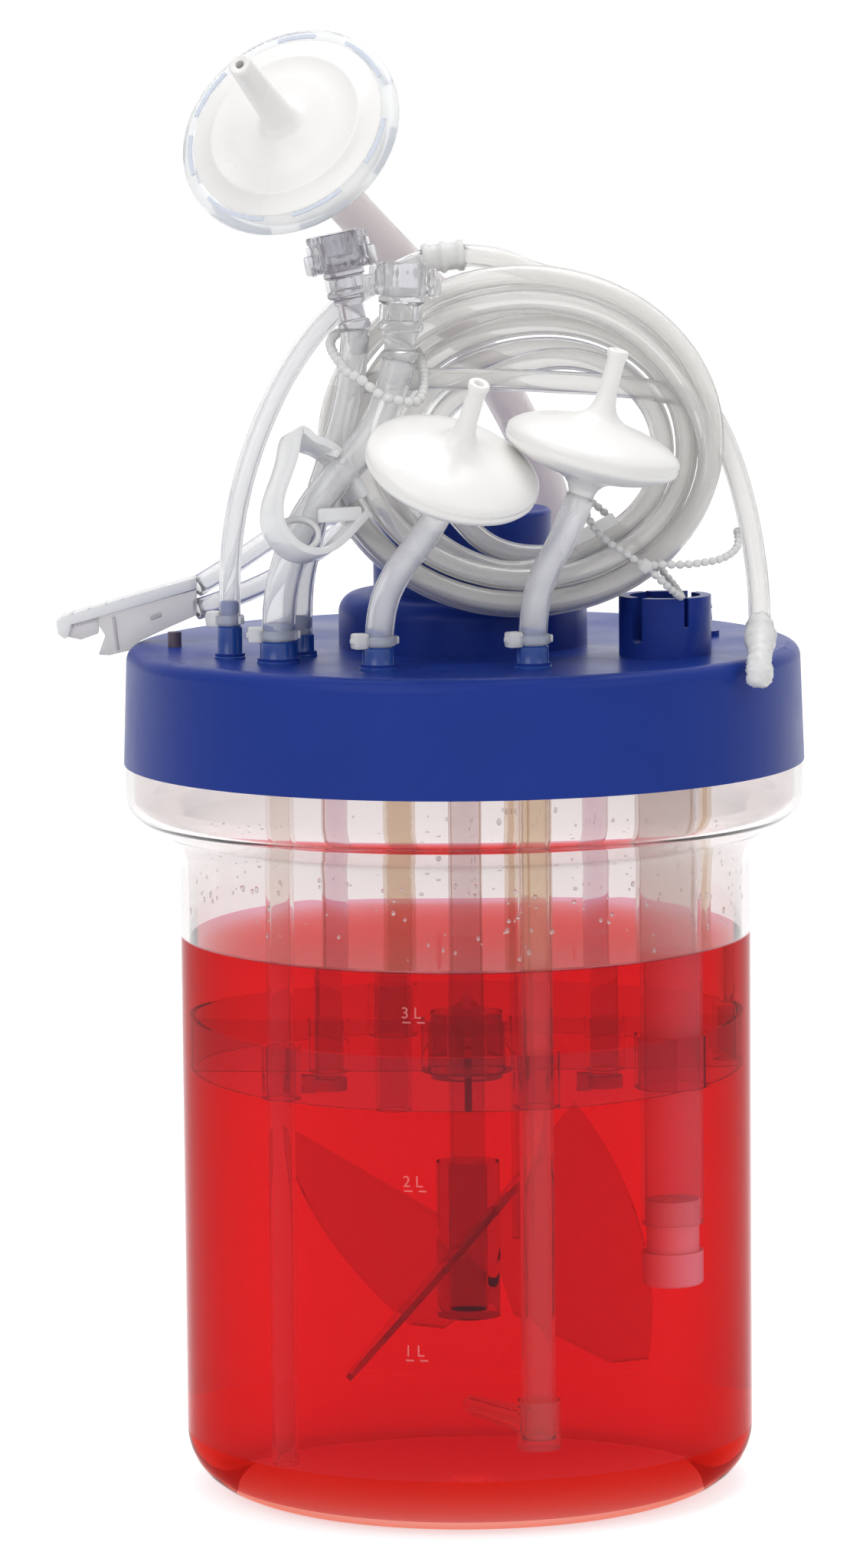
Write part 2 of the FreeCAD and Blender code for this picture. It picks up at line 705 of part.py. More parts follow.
def make_impeller():
    body = named(doc.addObject("PartDesign::Body", "impeller"), "impeller")
    hub = [
        (0, "impeller_low"),
        ("impeller_hub", "impeller_low"),
        ("impeller_hub", "impeller_low + impeller_height"),
        ("shaft_radius", "impeller_low + impeller_height"),
        ("shaft_radius", "shaft_low"),
        (0, "shaft_low"),
    ]
    turn(body, "Revolution", hub, "impeller_hub_turn")
    reach = "impeller_radius + blade_thickness"
    corner = "sqrt(impeller_radius * impeller_radius - (blade_chord_up * cos(blade_pitch)) ^ 2)"
    blade = [
        ("shaft_radius + blade_thickness / 2", "blade_root_up"),
        (corner, "blade_chord_up"),
        (f"{reach} + blade_thickness", "blade_chord_up"),
        (f"{reach} + blade_thickness", "-blade_chord_down"),
        ("blade_heel", "-blade_chord_down"),
        ("shaft_radius + blade_thickness / 2", "-blade_root_down"),
    ]
    tilt = {"Base__y": "sin(blade_pitch) * blade_thickness / 2"}
    tilt["Base__z"] = "blade_centre - cos(blade_pitch) * blade_thickness / 2"
    sketch = draw(body, "XY_Plane", blade, "blade_outline", **tilt)
    sketch.AttachmentOffset = Placement(sketch.AttachmentOffset.Base, Rotation(Vector(1, 0, 0), 1))
    bind(sketch, AttachmentOffset__Rotation__Angle="blade_pitch")
    pad = body.newObject("PartDesign::Pad", "blade")
    pad.Profile = sketch
    bind(pad, Length="blade_thickness")
    doc.recompute()
    pattern = body.newObject("PartDesign::PolarPattern", "blades")
    pattern.Originals = [pad]
    pattern.Axis = (next(f for f in body.Origin.OriginFeatures if f.Role == "Z_Axis"), [""])
    pattern.Angle = 360
    pattern.Occurrences = BLADES
    body.Tip = pattern
    doc.recompute()
    low, top = "blade_centre - blade_chord_down", "blade_centre + blade_chord_down"
    trim = ring("impeller_radius", "1.5 * impeller_radius", low, top)
    feature, _ = turn(body, "Groove", trim, "blade_trim")
    body.Tip = feature
    body.Placement = Placement(Vector(), Rotation(UP, FIRST_BLADE))


def brace_column(name, radius, x=0, y=0, more="0"):
    thing = solid("Cylinder", name, Radius=f"{radius} + {more}", Height=f"brace_height + 2 * {more}")
    bind(thing, Placement__Base__x=x, Placement__Base__y=y, Placement__Base__z=f"brace_low - {more}")
    return thing


def brace_walls(name, held, more="0"):
    """A thin band, a hub, four arms and a clip for each tube it holds, all fatter by what is given."""
    outside = brace_column(f"{name}_outside", "brace_radius", more=more)
    core = brace_column(f"{name}_core", f"brace_radius - brace_band - 2 * {more}", more=more)
    walls = [less(f"{name}_band", outside, core), brace_column(f"{name}_hub", "brace_hub", more=more)]
    for number, (back, side, sign) in enumerate((("x", "y", "-"), ("y", "x", ""))):
        arm = solid("Box", f"{name}_arm_{number}", Height=f"brace_height + 2 * {more}")
        bind(arm, Width=f"brace_arm + 2 * {more}", Length="2 * brace_radius - brace_band")
        arm.Placement = Placement(Vector(), Rotation(UP, 90 * number))
        bind(arm, **{f"Placement__Base__{back}": "brace_band / 2 - brace_radius"})
        bind(arm, **{f"Placement__Base__{side}": f"{sign}(brace_arm / 2 + {more})"})
        bind(arm, Placement__Base__z=f"brace_low - {more}")
        walls.append(arm)
    for number, (radius, x, y, low) in enumerate(held):
        walls.append(brace_column(f"{name}_clip_{number}", f"{radius} + clip_wall", x, y, more))
    return joined(f"{name}_walls", walls)


def make_brace(held):
    """The steady frame on the shaft's dark bush."""
    holes = [brace_column("bush_hole", "bush_radius", more="0")]
    for number, (radius, x, y, low) in enumerate(held):
        holes.append(brace_column(f"clip_hole_{number}", radius, x, y, "film"))
    brace = less("tube_brace", brace_walls("brace", held), joined("brace_holes", holes))
    named(brace, "tube_brace")
    low, top = "brace_low - bush_step", "brace_low + brace_height + bush_step"
    turned("steady_bush", ring("shaft_radius + running_play", "bush_radius", low, top))


def tie_walls(name, inner, wall, width, head):
    """Band and head of a cable tie round something of the inner radius; its head to the left."""
    band = solid("Cylinder", f"{name}_band", Radius=f"{inner} + {wall}", Height=width)
    block = solid("Box", f"{name}_head", Length=head, Width=head, Height=f"{width} * 1.5")
    bind(block, Placement__Base__x=f"-({inner}) - {head}", Placement__Base__y=f"-{head} / 2")
    bind(block, Placement__Base__z=f"-{width} / 4")
    return [band, block]


def make_supports():
    for side, sign in (("left", "-"), ("right", "")):
        x = f"{sign}rod_place"
        turned(f"{side}_support_rod", ring(0, "rod_radius", "brace_low - bush_step", DECK_LOW), x=x)
        clasp = less(
            f"{side}_tube_tie",
            joined(f"{side}_tie_outside", tie_walls(f"{side}_tie", "rod_radius", "tie_wall", "tie_width", "rod_tie_head")),
            solid("Cylinder", f"{side}_tie_hole", Radius="rod_radius", Height="tie_width"),
        )
        bind(clasp, Placement__Base__x=x, Placement__Base__z="brace_low - bush_step - tie_width")
        named(clasp, f"{side}_tube_tie")


# ---------------------------------------------------------------- filters
FRONT_FILTER = (lifted(-3, -84, 306), (0.271, -0.425, 0.865))
SIDE_FILTER = (lifted(36.6, -72, 310.6), (0.253, -0.106, 0.961))
VENT_FILTER = (lifted(-47.8, -38, 398.8), (-0.367, -0.758, 0.540))


def on_axis(spot, height):
    centre, way = spot
    return Vector(*centre) + Vector(*way).normalize() * height


def lens_filter(label, centre, way):
    """Sealed lens-shaped disc filter with a flared stub on each side, the upper one longer and open."""
    lens = solid("Ellipsoid", f"{label}_lens", Radius1="filter_half", Radius2="filter_radius - film")
    lens.Radius3 = 0
    rim = solid("Cylinder", f"{label}_rim", Radius="filter_radius", Height="filter_rim")
    bind(rim, Placement__Base__z="-filter_rim / 2")
    pieces = [lens, rim]
    for side, slim, reach, tilt in (("top", "stub_radius", "stub_reach", 0), ("under", "under_stub", "under_reach", 180)):
        stub = solid("Cylinder", f"{label}_{side}_stub", Radius=slim, Height=reach)
        flare = solid("Cone", f"{label}_{side}_flare", Radius1="2.6 * stub_radius", Radius2=slim)
        bind(flare, Height="filter_half * 1.6")
        for piece in (stub, flare):
            piece.Placement = Placement(Vector(), Rotation(Vector(1, 0, 0), tilt))
            pieces.append(piece)
    bore = solid("Cylinder", f"{label}_bore", Radius="stub_bore", Height="stub_reach")
    bind(bore, Placement__Base__z="1.5 * filter_half")
    body = less(label, joined(f"{label}_outside", pieces), bore)
    place(body, centre, way)
    named(body, label)


def make_vent_filter():
    """Two clear half shells with a membrane between them, a stub in front and a spout behind."""
    outline = [
        (0, "-vent_half"),
        ("0.45 * vent_radius", "-vent_half"),
        ("vent_radius - vent_lip", "-vent_rim"),
        ("vent_radius", "-vent_rim"),
        ("vent_radius", "vent_rim"),
        ("vent_radius - vent_lip", "vent_rim"),
        ("0.45 * vent_radius", "vent_half"),
        (0, "vent_half"),
        (0, "membrane_half"),
        ("membrane_radius", "membrane_half"),
        ("membrane_radius", "-membrane_half"),
        (0, "-membrane_half"),
    ]
    body = doc.addObject("PartDesign::Body", "vent_halves")
    feature, sketch = turn(body, "Revolution", outline, "vent_turn")
    rounded(body, feature, sketch, [3, 4], "vent_rim * 0.8")
    stub = solid("Cone", "vent_stub", Radius1="stub_radius * 1.9", Radius2="stub_radius * 1.3")
    bind(stub, Height="vent_stub - membrane_half", Placement__Base__z="membrane_half")
    spout = solid("Cone", "vent_spout", Radius1="stub_radius * 2", Radius2="stub_radius * 1.4")
    bind(spout, Height="vent_back - membrane_half")
    spout.Placement = Placement(Vector(0, 0, -size("membrane_half")), Rotation(Vector(1, 0, 0), 180))
    bore = solid("Cylinder", "vent_bore", Radius="stub_bore", Height="vent_stub")
    bind(bore, Placement__Base__z="membrane_half")
    housing = less("vent_filter_housing", joined("vent_outside", [body, stub, spout]), bore)
    place(housing, *VENT_FILTER)
    named(housing, "vent_filter_housing")
    membrane = solid("Cylinder", "vent_filter_membrane", Radius="membrane_radius", Height="2 * membrane_half")
    place(membrane, on_axis(VENT_FILTER, -size("membrane_half")), VENT_FILTER[1])
    named(membrane, "vent_filter_membrane")


# ---------------------------------------------------------------- line couplings
LEFT_END = (lifted(-30, -45.6, 343), (-0.19, 0.02, 0.98))
RIGHT_END = (lifted(-17.6, -54.5, 335), (0.05, 0.01, 1))


def make_coupling(side, spot):
    """Neck for the tube, a waist, and a spigot that a locking ring turns on."""
    low = f"{side}_neck_height"
    seat = f"{low} + {side}_waist_height"
    top = f"{seat} + {side}_spigot_height"
    outline = [
        (0, 0),
        (f"{side}_neck", 0),
        (f"{side}_neck", low),
        (f"{side}_waist", low),
        (f"{side}_waist", seat),
        (f"{side}_spigot", seat),
        (f"{side}_spigot", top),
        (0, top),
    ]
    body = turned(f"{side}_coupling", outline, rounds=[([3], "film * 5")])
    place(body, *spot)
    inner, foot = f"{side}_spigot + running_play", f"{seat} + running_play"
    lock = doc.addObject("PartDesign::Body", f"{side}_lock_body")
    turn(lock, "Revolution", ring(inner, f"{side}_ring", foot, f"{top} - running_play"), f"{side}_lock_turn")
    wings = []
    for number, angle in enumerate((0, 180)):
        wing = solid("Box", f"{side}_wing_{number}", Width="wing_width", Height="wing_height")
        bind(wing, Length=f"{side}_wing_reach - {side}_ring + wing_root")
        bind(wing, Placement__Base__z=foot)
        root, half_turn = size(f"{side}_ring") - size("wing_root"), Rotation(UP, angle)
        wing.Placement = Placement(half_turn.multVec(Vector(root, -size("wing_width") / 2, 0)), half_turn)
        wings.append(wing)
    label = "left_locking_ring" if side == "left" else "right_locking_cap"
    winged = joined(label, [lock] + wings)
    place(winged, *spot)
    named(winged, label)


# ---------------------------------------------------------------- coil and its ties
COIL_CENTRE = lifted(16.8, -35.6, 310.3)
HOLE_OFFSET = (9.2, -4.8)
FITTING_ANGLE = -62


def coil_place(along=0, up=0, out=0, about=0):
    """Place in the coil's own plane, which leans back: along it, up it, out of it, turned in it."""
    lean = Placement(Vector(*COIL_CENTRE), Rotation(Vector(1, 0, 0), 90 - size("coil_lean")))
    return lean * Placement(Vector(along, up, out), Rotation(UP, about))


def make_coil():
    outline = solid("Ellipse", "coil_outline", MajorRadius="coil_wide", MinorRadius="coil_tall")
    bundle = doc.addObject("Part::Extrusion", "coil_bundle")
    bundle.Base, bundle.Solid, bundle.Dir = outline, True, UP
    bind(bundle, LengthFwd="coil_depth")
    hole = solid("Cylinder", "coil_hole", Radius="coil_hole", Height="coil_depth + 2 * film")
    hole.Placement.Base = Vector(*HOLE_OFFSET, -size("film"))
    pierced = less("coil_pierced", bundle, hole)
    doc.recompute()
    coil = doc.addObject("Part::Fillet", "tubing_coil")
    coil.Base = pierced
    curved = [n for n, e in enumerate(pierced.Shape.Edges, 1) if not isinstance(e.Curve, Part.Line)]
    coil.Edges = [(n, size("coil_edge"), size("coil_edge")) for n in curved]
    coil.Placement = coil_place(out=-size("coil_depth") / 2)
    named(coil, "tubing_coil")
    fitting = solid("Cylinder", "coil_fitting", Radius="fitting_radius", Height="fitting_length")
    reach = math.sqrt(size("coil_hole") ** 2 - size("fitting_length") ** 2 / 4) - size("fitting_radius")
    turned_to = math.radians(FITTING_ANGLE)
    along, up = HOLE_OFFSET[0] + reach * math.cos(turned_to), HOLE_OFFSET[1] + reach * math.sin(turned_to)
    lie = Placement(Vector(0, size("fitting_length") / 2, 0), Rotation(Vector(1, 0, 0), 90))
    fitting.Placement = coil_place(along, up, 0, FITTING_ANGLE) * lie
    named(fitting, "coil_fitting")


def bundle_tie(label, angle, spot, length, front):
    """Flat closed band about the bundle, its opening as long as given and as deep as the front allows."""
    wall, width, back = size("band_wall"), size("band_width"), -size("coil_depth") / 2 - size("film")
    depth = front - back
    outside = solid("Box", f"{label}_outside", Length=length + 2 * wall, Height=depth + 2 * wall, Width=width)
    inside = solid("Box", f"{label}_inside", Length=length, Height=depth, Width=width * 2)
    outside.Placement = Placement(Vector(-length / 2 - wall, -width / 2, back - wall), Rotation())
    inside.Placement = Placement(Vector(-length / 2, -width, back), Rotation())
    band = less(label, outside, inside)
    band.Placement = coil_place(*spot, 0, angle)
    named(band, label)


# ---------------------------------------------------------------- free tubing
JOINER = (lifted(-10, -27.4, 361.9), lifted(0, -26.8, 362.9))
TAIL_PLUG = (lifted(84.4, -48.5, 257.6), lifted(83.2, -60, 249.4))

# Points of each free tube, between its two ends.
ROUTES = {
    "vent_hose": [(24.5, 57, 294), (13, 43.5, 319), (-1, 30.5, 341), (-17, 16.5, 359)],
    "gas_line": [
        (-66.2, -35.4, 283),
        (-63, -34.5, 299),
        (-57.5, -33.5, 315),
        (-49.5, -32, 331),
        (-39, -30.5, 345),
        (-26, -29, 355.5),
    ],
    "harvest_line": [
        (-50.2, -54.8, 277),
        (-44.5, -60, 291),
        (-35.5, -61.3, 302.5),
        (-26.8, -58.4, 311.5),
        (-20.8, -55.6, 321.8),
    ],
    "sample_line": [
        (-46.9, -34.6, 270),
        (-45, -41.5, 279),
        (-42.8, -47.6, 287.5),
        (-40.6, -51.4, 296.5),
        (-37.4, -52.3, 306),
        (-33.6, -50, 317.5),
        (-30.8, -47.6, 330.5),
    ],
    "front_filter_line": [(-18.5, -70.4, 277), (-10.5, -73.8, 286.5)],
    "side_filter_line": [(22.2, -69.2, 275), (28.5, -71.3, 285.5)],
    "coil_lead": [(10, -26.4, 362.7)],
    "coil_tail": [
        (66, -33.2, 325),
        (73.5, -34.4, 314),
        (78.5, -35.4, 301),
        (81.8, -36.8, 288),
        (83.8, -39, 275),
        (84.6, -42.6, 264.6),
    ],
    "upper_back_line": [
        (-23.6, 65, 272.5),
        (-31, 56.8, 280.3),
        (-42, 45.8, 282.6),
        (-54.5, 33.6, 278),
        (-67, 21.8, 270.3),
    ],
    "lower_back_line": [
        (10.5, 67, 277),
        (1, 60, 288.5),
        (-13, 50.5, 290),
        (-28, 41, 283),
        (-43, 32.5, 273),
        (-59, 23, 263),
    ],
}


def route(points):
    """Wire of straight runs joined by tangent arcs, each as large as its two runs allow."""
    edges, start, radii = [], points[0], []
    for before, corner, after in zip(points, points[1:], points[2:]):
        back, ahead = before - corner, after - corner
        trim = 0.45 * min(back.Length, ahead.Length)
        back.normalize()
        ahead.normalize()
        half = (math.pi - back.getAngle(ahead)) / 2
        radius = trim / math.tan(half)
        middle = corner + (back + ahead).normalize() * (radius / math.cos(half) - radius)
        first, last = corner + back * trim, corner + ahead * trim
        edges.append(Part.LineSegment(start, first).toShape())
        edges.append(Part.Arc(first, middle, last).toShape())
        radii.append(radius)
        start = last
    edges.append(Part.LineSegment(start, points[-1]).toShape())
    return Part.Wire(edges), radii


def tube(label, first, last, alias, trims=()):
    """A free tube: a plain round solid along its route, its ends cut to what they push onto."""
    points = [Vector(*p) for p in first + [lifted(*p) for p in ROUTES[label]] + last]
    radius = size(alias)
    wire, radii = route(points)
    disc = Part.Wire(Part.Circle(points[0], (points[1] - points[0]).normalize(), radius).toShape())
    shape = wire.makePipeShell([disc], True, False)
    share = shape.Volume / (math.pi * radius**2 * wire.Length)
    bends = ", ".join(f"{r:.0f}" for r in radii)
    least = min(radii) / radius / 2
    print(f"{label}: length {wire.Length:.0f}, radii {bends} ({least:.1f} diameters), volume {share:.4f}")
    for trim in trims:
        shape = shape.cut(trim)
    fixed(label, max(shape.Solids, key=lambda s: s.Volume))
    return shape


def port_line(label, port, rise, last, end):
    """A free tube that stands over a port's barb, straight up to a height, and ends at another piece."""
    circle, angle, alias, barb, dip = PORTS[port]
    start = port_at(port, size("deck_top") + size("collar_height"))
    core = Part.makeCylinder(size(alias) - size("tube_wall"), size(barb) - size("collar_height"), start)
    return tube(label, [start, port_at(port, level(rise))], last, alias, [core, shape_of("lid"), shape_of(end)])


def shape_of(name):
    return doc.getObject(name).Shape


def run_up(spot, depth, run):
    """The last two points of a tube that meets a stub straight: along its axis, then at its tip."""
    return [on_axis(spot, -depth - run), on_axis(spot, -depth)]


def make_tubing():
    between("line_joiner", JOINER, "joiner_radius", "joiner_radius")
    between("tail_plug", TAIL_PLUG, "plug_radius", "plug_tip")
    doc.recompute()
    port_line("vent_hose", "vent", 270, run_up(VENT_FILTER, size("vent_back"), 16), "vent_filter_housing")
    port_line("gas_line", "gas", 269, [JOINER[0]], "line_joiner")
    harvest = port_line("harvest_line", "harvest", 263, [RIGHT_END[0]], "right_coupling")
    port_line("sample_line", "sample", 259.8, [LEFT_END[0]], "left_coupling")
    port_line("front_filter_line", "overlay", 264.5, [on_axis(FRONT_FILTER, -size("under_reach"))], "front_filter")
    port_line("side_filter_line", "sparge", 262.5, [on_axis(SIDE_FILTER, -size("under_reach"))], "side_filter")
    port_line("upper_back_line", "feed", 261, [lifted(size("jaw_end"), 14.4, 264.4)], "line_clamp")
    port_line("lower_back_line", "base", 263, [lifted(size("jaw_end"), 13.6, 257.8)], "line_clamp")
    coil, joiner, plug = (shape_of(name) for name in ("tubing_coil", "line_joiner", "tail_plug"))
    tube("coil_lead", [JOINER[1]], [lifted(20, -26.2, 358.6)], "coil_tube", [coil, joiner])
    tube("coil_tail", [lifted(57.6, -32.8, 335)], [TAIL_PLUG[0]], "coil_tube", [coil, plug])
    make_pinch_clamp(harvest)


def between(label, ends, first, last):
    """Round piece from one point to another, as thick at each end as its alias says."""
    start, way = Vector(*ends[0]), Vector(*ends[1]) - Vector(*ends[0])
    piece = solid("Cone", label, Radius1=first, Radius2=f"{last} - 0.01 * film")
    piece.Height = way.Length
    place(piece, start, way)
    named(piece, label)


def make_port_ties():
    """Cable ties that hold the tubes down on the barbs of the front ports."""
    ties = []
    for name in ("gas", "harvest", "overlay", "sparge"):
        circle, angle, radius, barb, dip = PORTS[name]
        x, y = across(name)
        walls = tie_walls(f"{name}_tie", radius, "port_tie_wall", "port_tie_width", "tie_head")
        hole = solid("Cylinder", f"{name}_tie_hole", Radius=radius, Height="2 * port_tie_width")
        bind(hole, Placement__Base__z="-port_tie_width / 2")
        tie = less(f"{name}_tie_body", joined(f"{name}_tie_outside", walls), hole)
        bind(tie, Placement__Base__x=x, Placement__Base__y=y, Placement__Base__z=f"{DECK_TOP} + {barb} * 0.6")
        ties.append(tie)
    group = doc.addObject("Part::Compound", "port_ties")
    group.Links = ties
    named(group, "port_ties")


# ---------------------------------------------------------------- clamps
CLAMP_CENTRE = lifted(-40, -62.4, 296)
CLAMP_STRIP = [
    (7, 14),
    (-1, 16),
    (-7, 19),
    (-12, 14),
    (-16, 3),
    (-16, -8),
    (-12, -15),
    (-5, -18.5),
    (3, -15),
    (9, -9),
    (17, -5),
]


def make_pinch_clamp(line):
    """Plastic strip bent into an open loop, the tube through both its ends."""
    points = [Vector(along, 0, up) for along, up in CLAMP_STRIP]
    outline = Part.makePolygon(points).makeOffset2D(size("clamp_strip") / 2, 0, False, False)
    width = size("clamp_width")
    shape = Part.Face(outline).extrude(Vector(0, width, 0))
    shape.translate(Vector(*CLAMP_CENTRE) - Vector(0, width / 2, 0))
    shape = shape.cut(line)
    fixed("pinch_clamp", max(shape.Solids, key=lambda s: s.Volume))


def make_line_clamp():
    """Flat moulded clamp on the ends of the two back lines: toothed bar above, jaw and trigger below."""
    body = named(doc.addObject("PartDesign::Body", "line_clamp"), "line_clamp")
    corners = [
        (-118.6, 256.5),
        (-119.2, 250.4),
        (-114.5, 249.6),
        (-107.4, 252),
        (-104.4, 251.4),
        (-107, 245.4),
        (-102, 245.2),
        (-99.8, 250.8),
        (-86.6, 251.4),
        ("jaw_end", 254.4),
        ("jaw_end", 267.8),
        (-95, 263.5),
    ]
    corners = [(along, f"{height - DRAWN_DECK} + {DECK_TOP}") for along, height in corners]
    sketch = draw(body, "XZ_Plane", corners, "line_clamp_outline", Base__z="-line_clamp_back")
    pad = body.newObject("PartDesign::Pad", "line_clamp_pad")
    pad.Profile = sketch
    bind(pad, Length="line_clamp_thickness")


def hung_pieces():
    """What hangs from the lid into the vessel, as (radius, x, y, lowest point)."""
    hung = {name: (dip[0], *across(name), dip[1]) for name, (*_, dip) in PORTS.items() if dip}
    hung["sensor"] = ("sensor_radius", *TOWER, "sensor_low")
    for side, sign in (("left", "-"), ("right", "")):
        hung[side] = ("rod_radius", f"{sign}rod_place", 0, "brace_low - bush_step - tie_width")
    return hung


def check_and_write():
    faults = [thing.Name for thing in doc.Objects if {"Invalid", "Error"} & set(thing.State)]
    faults += [node.Label for node in nodes if node.Shape.isNull() or not node.Shape.isValid()]
    if faults:
        raise SystemExit("; ".join(faults))
    os.makedirs("parts", exist_ok=True)
    for node in nodes:
        node.Shape.exportStep(f"parts/{node.Label}.step")
    print(len(nodes), "nodes")


make_vessel()
make_lid()
turned("lid_seal", ring("seal_inner", "seal_outer", VESSEL_TOP, "vessel_height + seal_height"))
turned("deck_plug", ring(0, "deck_plug_radius", DECK_TOP, f"{DECK_TOP} + deck_plug_height"), x="deck_plug_inset - lid_radius", y=-4)
make_hub()
make_rotor()
pieces_in_vessel = hung_pieces()
clipped = [hung for name, hung in pieces_in_vessel.items() if name != "base"]
make_brace(clipped)
make_supports()
make_dip_tubes()
make_medium(pieces_in_vessel.values(), clipped)
doc.recompute()
make_coil()
lens_filter("front_filter", *FRONT_FILTER)
lens_filter("side_filter", *SIDE_FILTER)
make_vent_filter()
make_coupling("left", LEFT_END)
make_coupling("right", RIGHT_END)
bundle_tie("lower_coil_tie", -40, (37.2, -29.7), 19.6, size("coil_depth") / 2 + size("film"))
bundle_tie("upper_coil_tie", 154, (-36.5, 16.5), 43, size("upper_tie_front"))
make_port_ties()
make_line_clamp()
doc.recompute()
make_tubing()
doc.recompute()
check_and_write()
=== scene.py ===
import bpy, bmesh, math, random
from mathutils import Matrix, Vector


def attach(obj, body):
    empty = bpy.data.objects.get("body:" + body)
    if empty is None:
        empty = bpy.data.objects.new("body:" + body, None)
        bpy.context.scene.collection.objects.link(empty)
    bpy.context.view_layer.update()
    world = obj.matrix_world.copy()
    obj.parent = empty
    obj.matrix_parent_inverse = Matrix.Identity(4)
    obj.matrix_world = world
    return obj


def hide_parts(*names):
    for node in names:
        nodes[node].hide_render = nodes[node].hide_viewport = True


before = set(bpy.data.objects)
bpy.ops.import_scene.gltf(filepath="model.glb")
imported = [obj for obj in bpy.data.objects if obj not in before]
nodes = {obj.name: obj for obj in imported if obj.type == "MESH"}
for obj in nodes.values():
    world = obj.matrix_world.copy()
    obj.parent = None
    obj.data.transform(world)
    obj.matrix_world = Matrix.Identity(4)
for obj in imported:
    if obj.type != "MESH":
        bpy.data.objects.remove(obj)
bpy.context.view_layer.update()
mm = 0.001
random.seed(7)
print("frame:", len(nodes), "nodes")


# ---- camera, light and floor
cameraFacts = {"place": (-9.6, -2050, 465), "lens": 162.07, "pitch": 82.83, "roll": -0.545,
               "sensor": 36, "clip": (0.05, 50)}
lightFacts = {"world": 0.6, "worldColour": (0.97, 0.98, 1), "key": 8.5, "fill": 3.5, "top": 6.8, "floorLift": 0.62,
              "bounces": 24, "sideFade": (0.4, 0.8), "sides": 0.65, "floorSize": 6, "floorColour": (0.82, 0.82, 0.82)}
lampFacts = {  # place, aim and size in metres
    "key": ((-0.9, -1.3, 1.2), (0, 0, 0.2), (1.2, 1.5)),
    "fill": ((1.3, -1.0, 1.15), (0, 0, 0.2), (1.1, 1.2)),
    "top": ((0.1, 0.2, 1.5), (0, 0, 0.3), (1.0, 0.8)),
}


def addObject(name, data):
    made = bpy.data.objects.new(name, data)
    bpy.context.scene.collection.objects.link(made)
    return made


def setCamera():
    data = bpy.data.cameras.new("viewCamera")
    data.lens, data.sensor_width = cameraFacts["lens"], cameraFacts["sensor"]
    data.clip_start, data.clip_end = cameraFacts["clip"]
    camera = addObject("viewCamera", data)
    tilt = Matrix.Rotation(math.radians(cameraFacts["pitch"]), 4, "X")
    roll = Matrix.Rotation(math.radians(cameraFacts["roll"]), 4, "Z")
    camera.matrix_world = Matrix.Translation(Vector(cameraFacts["place"]) * mm) @ tilt @ roll
    bpy.context.scene.camera = camera


def addLamp(name, place, aim, size, power):
    data = bpy.data.lights.new(name, "AREA")
    data.shape, data.size, data.size_y, data.energy = "RECTANGLE", size[0], size[1], power
    lamp = addObject(name, data)
    lamp.location = place
    lamp.rotation_euler = (Vector(aim) - Vector(place)).to_track_quat("-Z", "Y").to_euler()


def addNode(tree, kind):
    return tree.nodes.new("ShaderNode" + kind)


def seenDirectly(tree):
    # 1 where the camera, a mirror or clear material looks, 0 for the light that surfaces catch
    path = addNode(tree, "LightPath")
    seen = path.outputs["Is Camera Ray"]
    for ray in ("Is Glossy Ray", "Is Transmission Ray"):
        either = addNode(tree, "Math")
        either.operation = "MAXIMUM"
        tree.links.new(seen, either.inputs[0])
        tree.links.new(path.outputs[ray], either.inputs[1])
        seen = either.outputs[0]
    return seen


def setWorld():
    world = bpy.data.worlds.new("studio")
    bpy.context.scene.world = world
    world.use_nodes = True
    tree = world.node_tree
    tree.nodes.clear()
    output = addNode(tree, "OutputWorld")
    mix = addNode(tree, "MixShader")
    soft = addNode(tree, "Background")
    plain = addNode(tree, "Background")
    soft.inputs["Color"].default_value = (*lightFacts["worldColour"], 1)
    soft.inputs["Strength"].default_value = lightFacts["world"]
    plain.inputs["Color"].default_value = (1, 1, 1, 1)
    # darker walls to the left and right, which clear edges and mirrors pick up
    way = addNode(tree, "TexCoord")
    parts = addNode(tree, "SeparateXYZ")
    aside = addNode(tree, "Math")
    fade = addNode(tree, "MapRange")
    aside.operation, fade.interpolation_type = "ABSOLUTE", "SMOOTHSTEP"
    low, high = lightFacts["sideFade"]
    for socket, value in (("From Min", low), ("From Max", high), ("To Min", 1), ("To Max", lightFacts["sides"])):
        fade.inputs[socket].default_value = value
    # the wall behind the part stays white from every side
    behind = addNode(tree, "Math")
    behind.operation = "MAXIMUM"
    path = addNode(tree, "LightPath")
    for start, end in ((way.outputs["Generated"], parts.inputs[0]), (parts.outputs["X"], aside.inputs[0]),
                       (aside.outputs[0], fade.inputs["Value"]), (fade.outputs["Result"], behind.inputs[0]),
                       (path.outputs["Is Camera Ray"], behind.inputs[1]),
                       (behind.outputs[0], plain.inputs["Strength"]), (seenDirectly(tree), mix.inputs["Fac"]),
                       (soft.outputs[0], mix.inputs[1]), (plain.outputs[0], mix.inputs[2]),
                       (mix.outputs[0], output.inputs["Surface"])):
        tree.links.new(start, end)


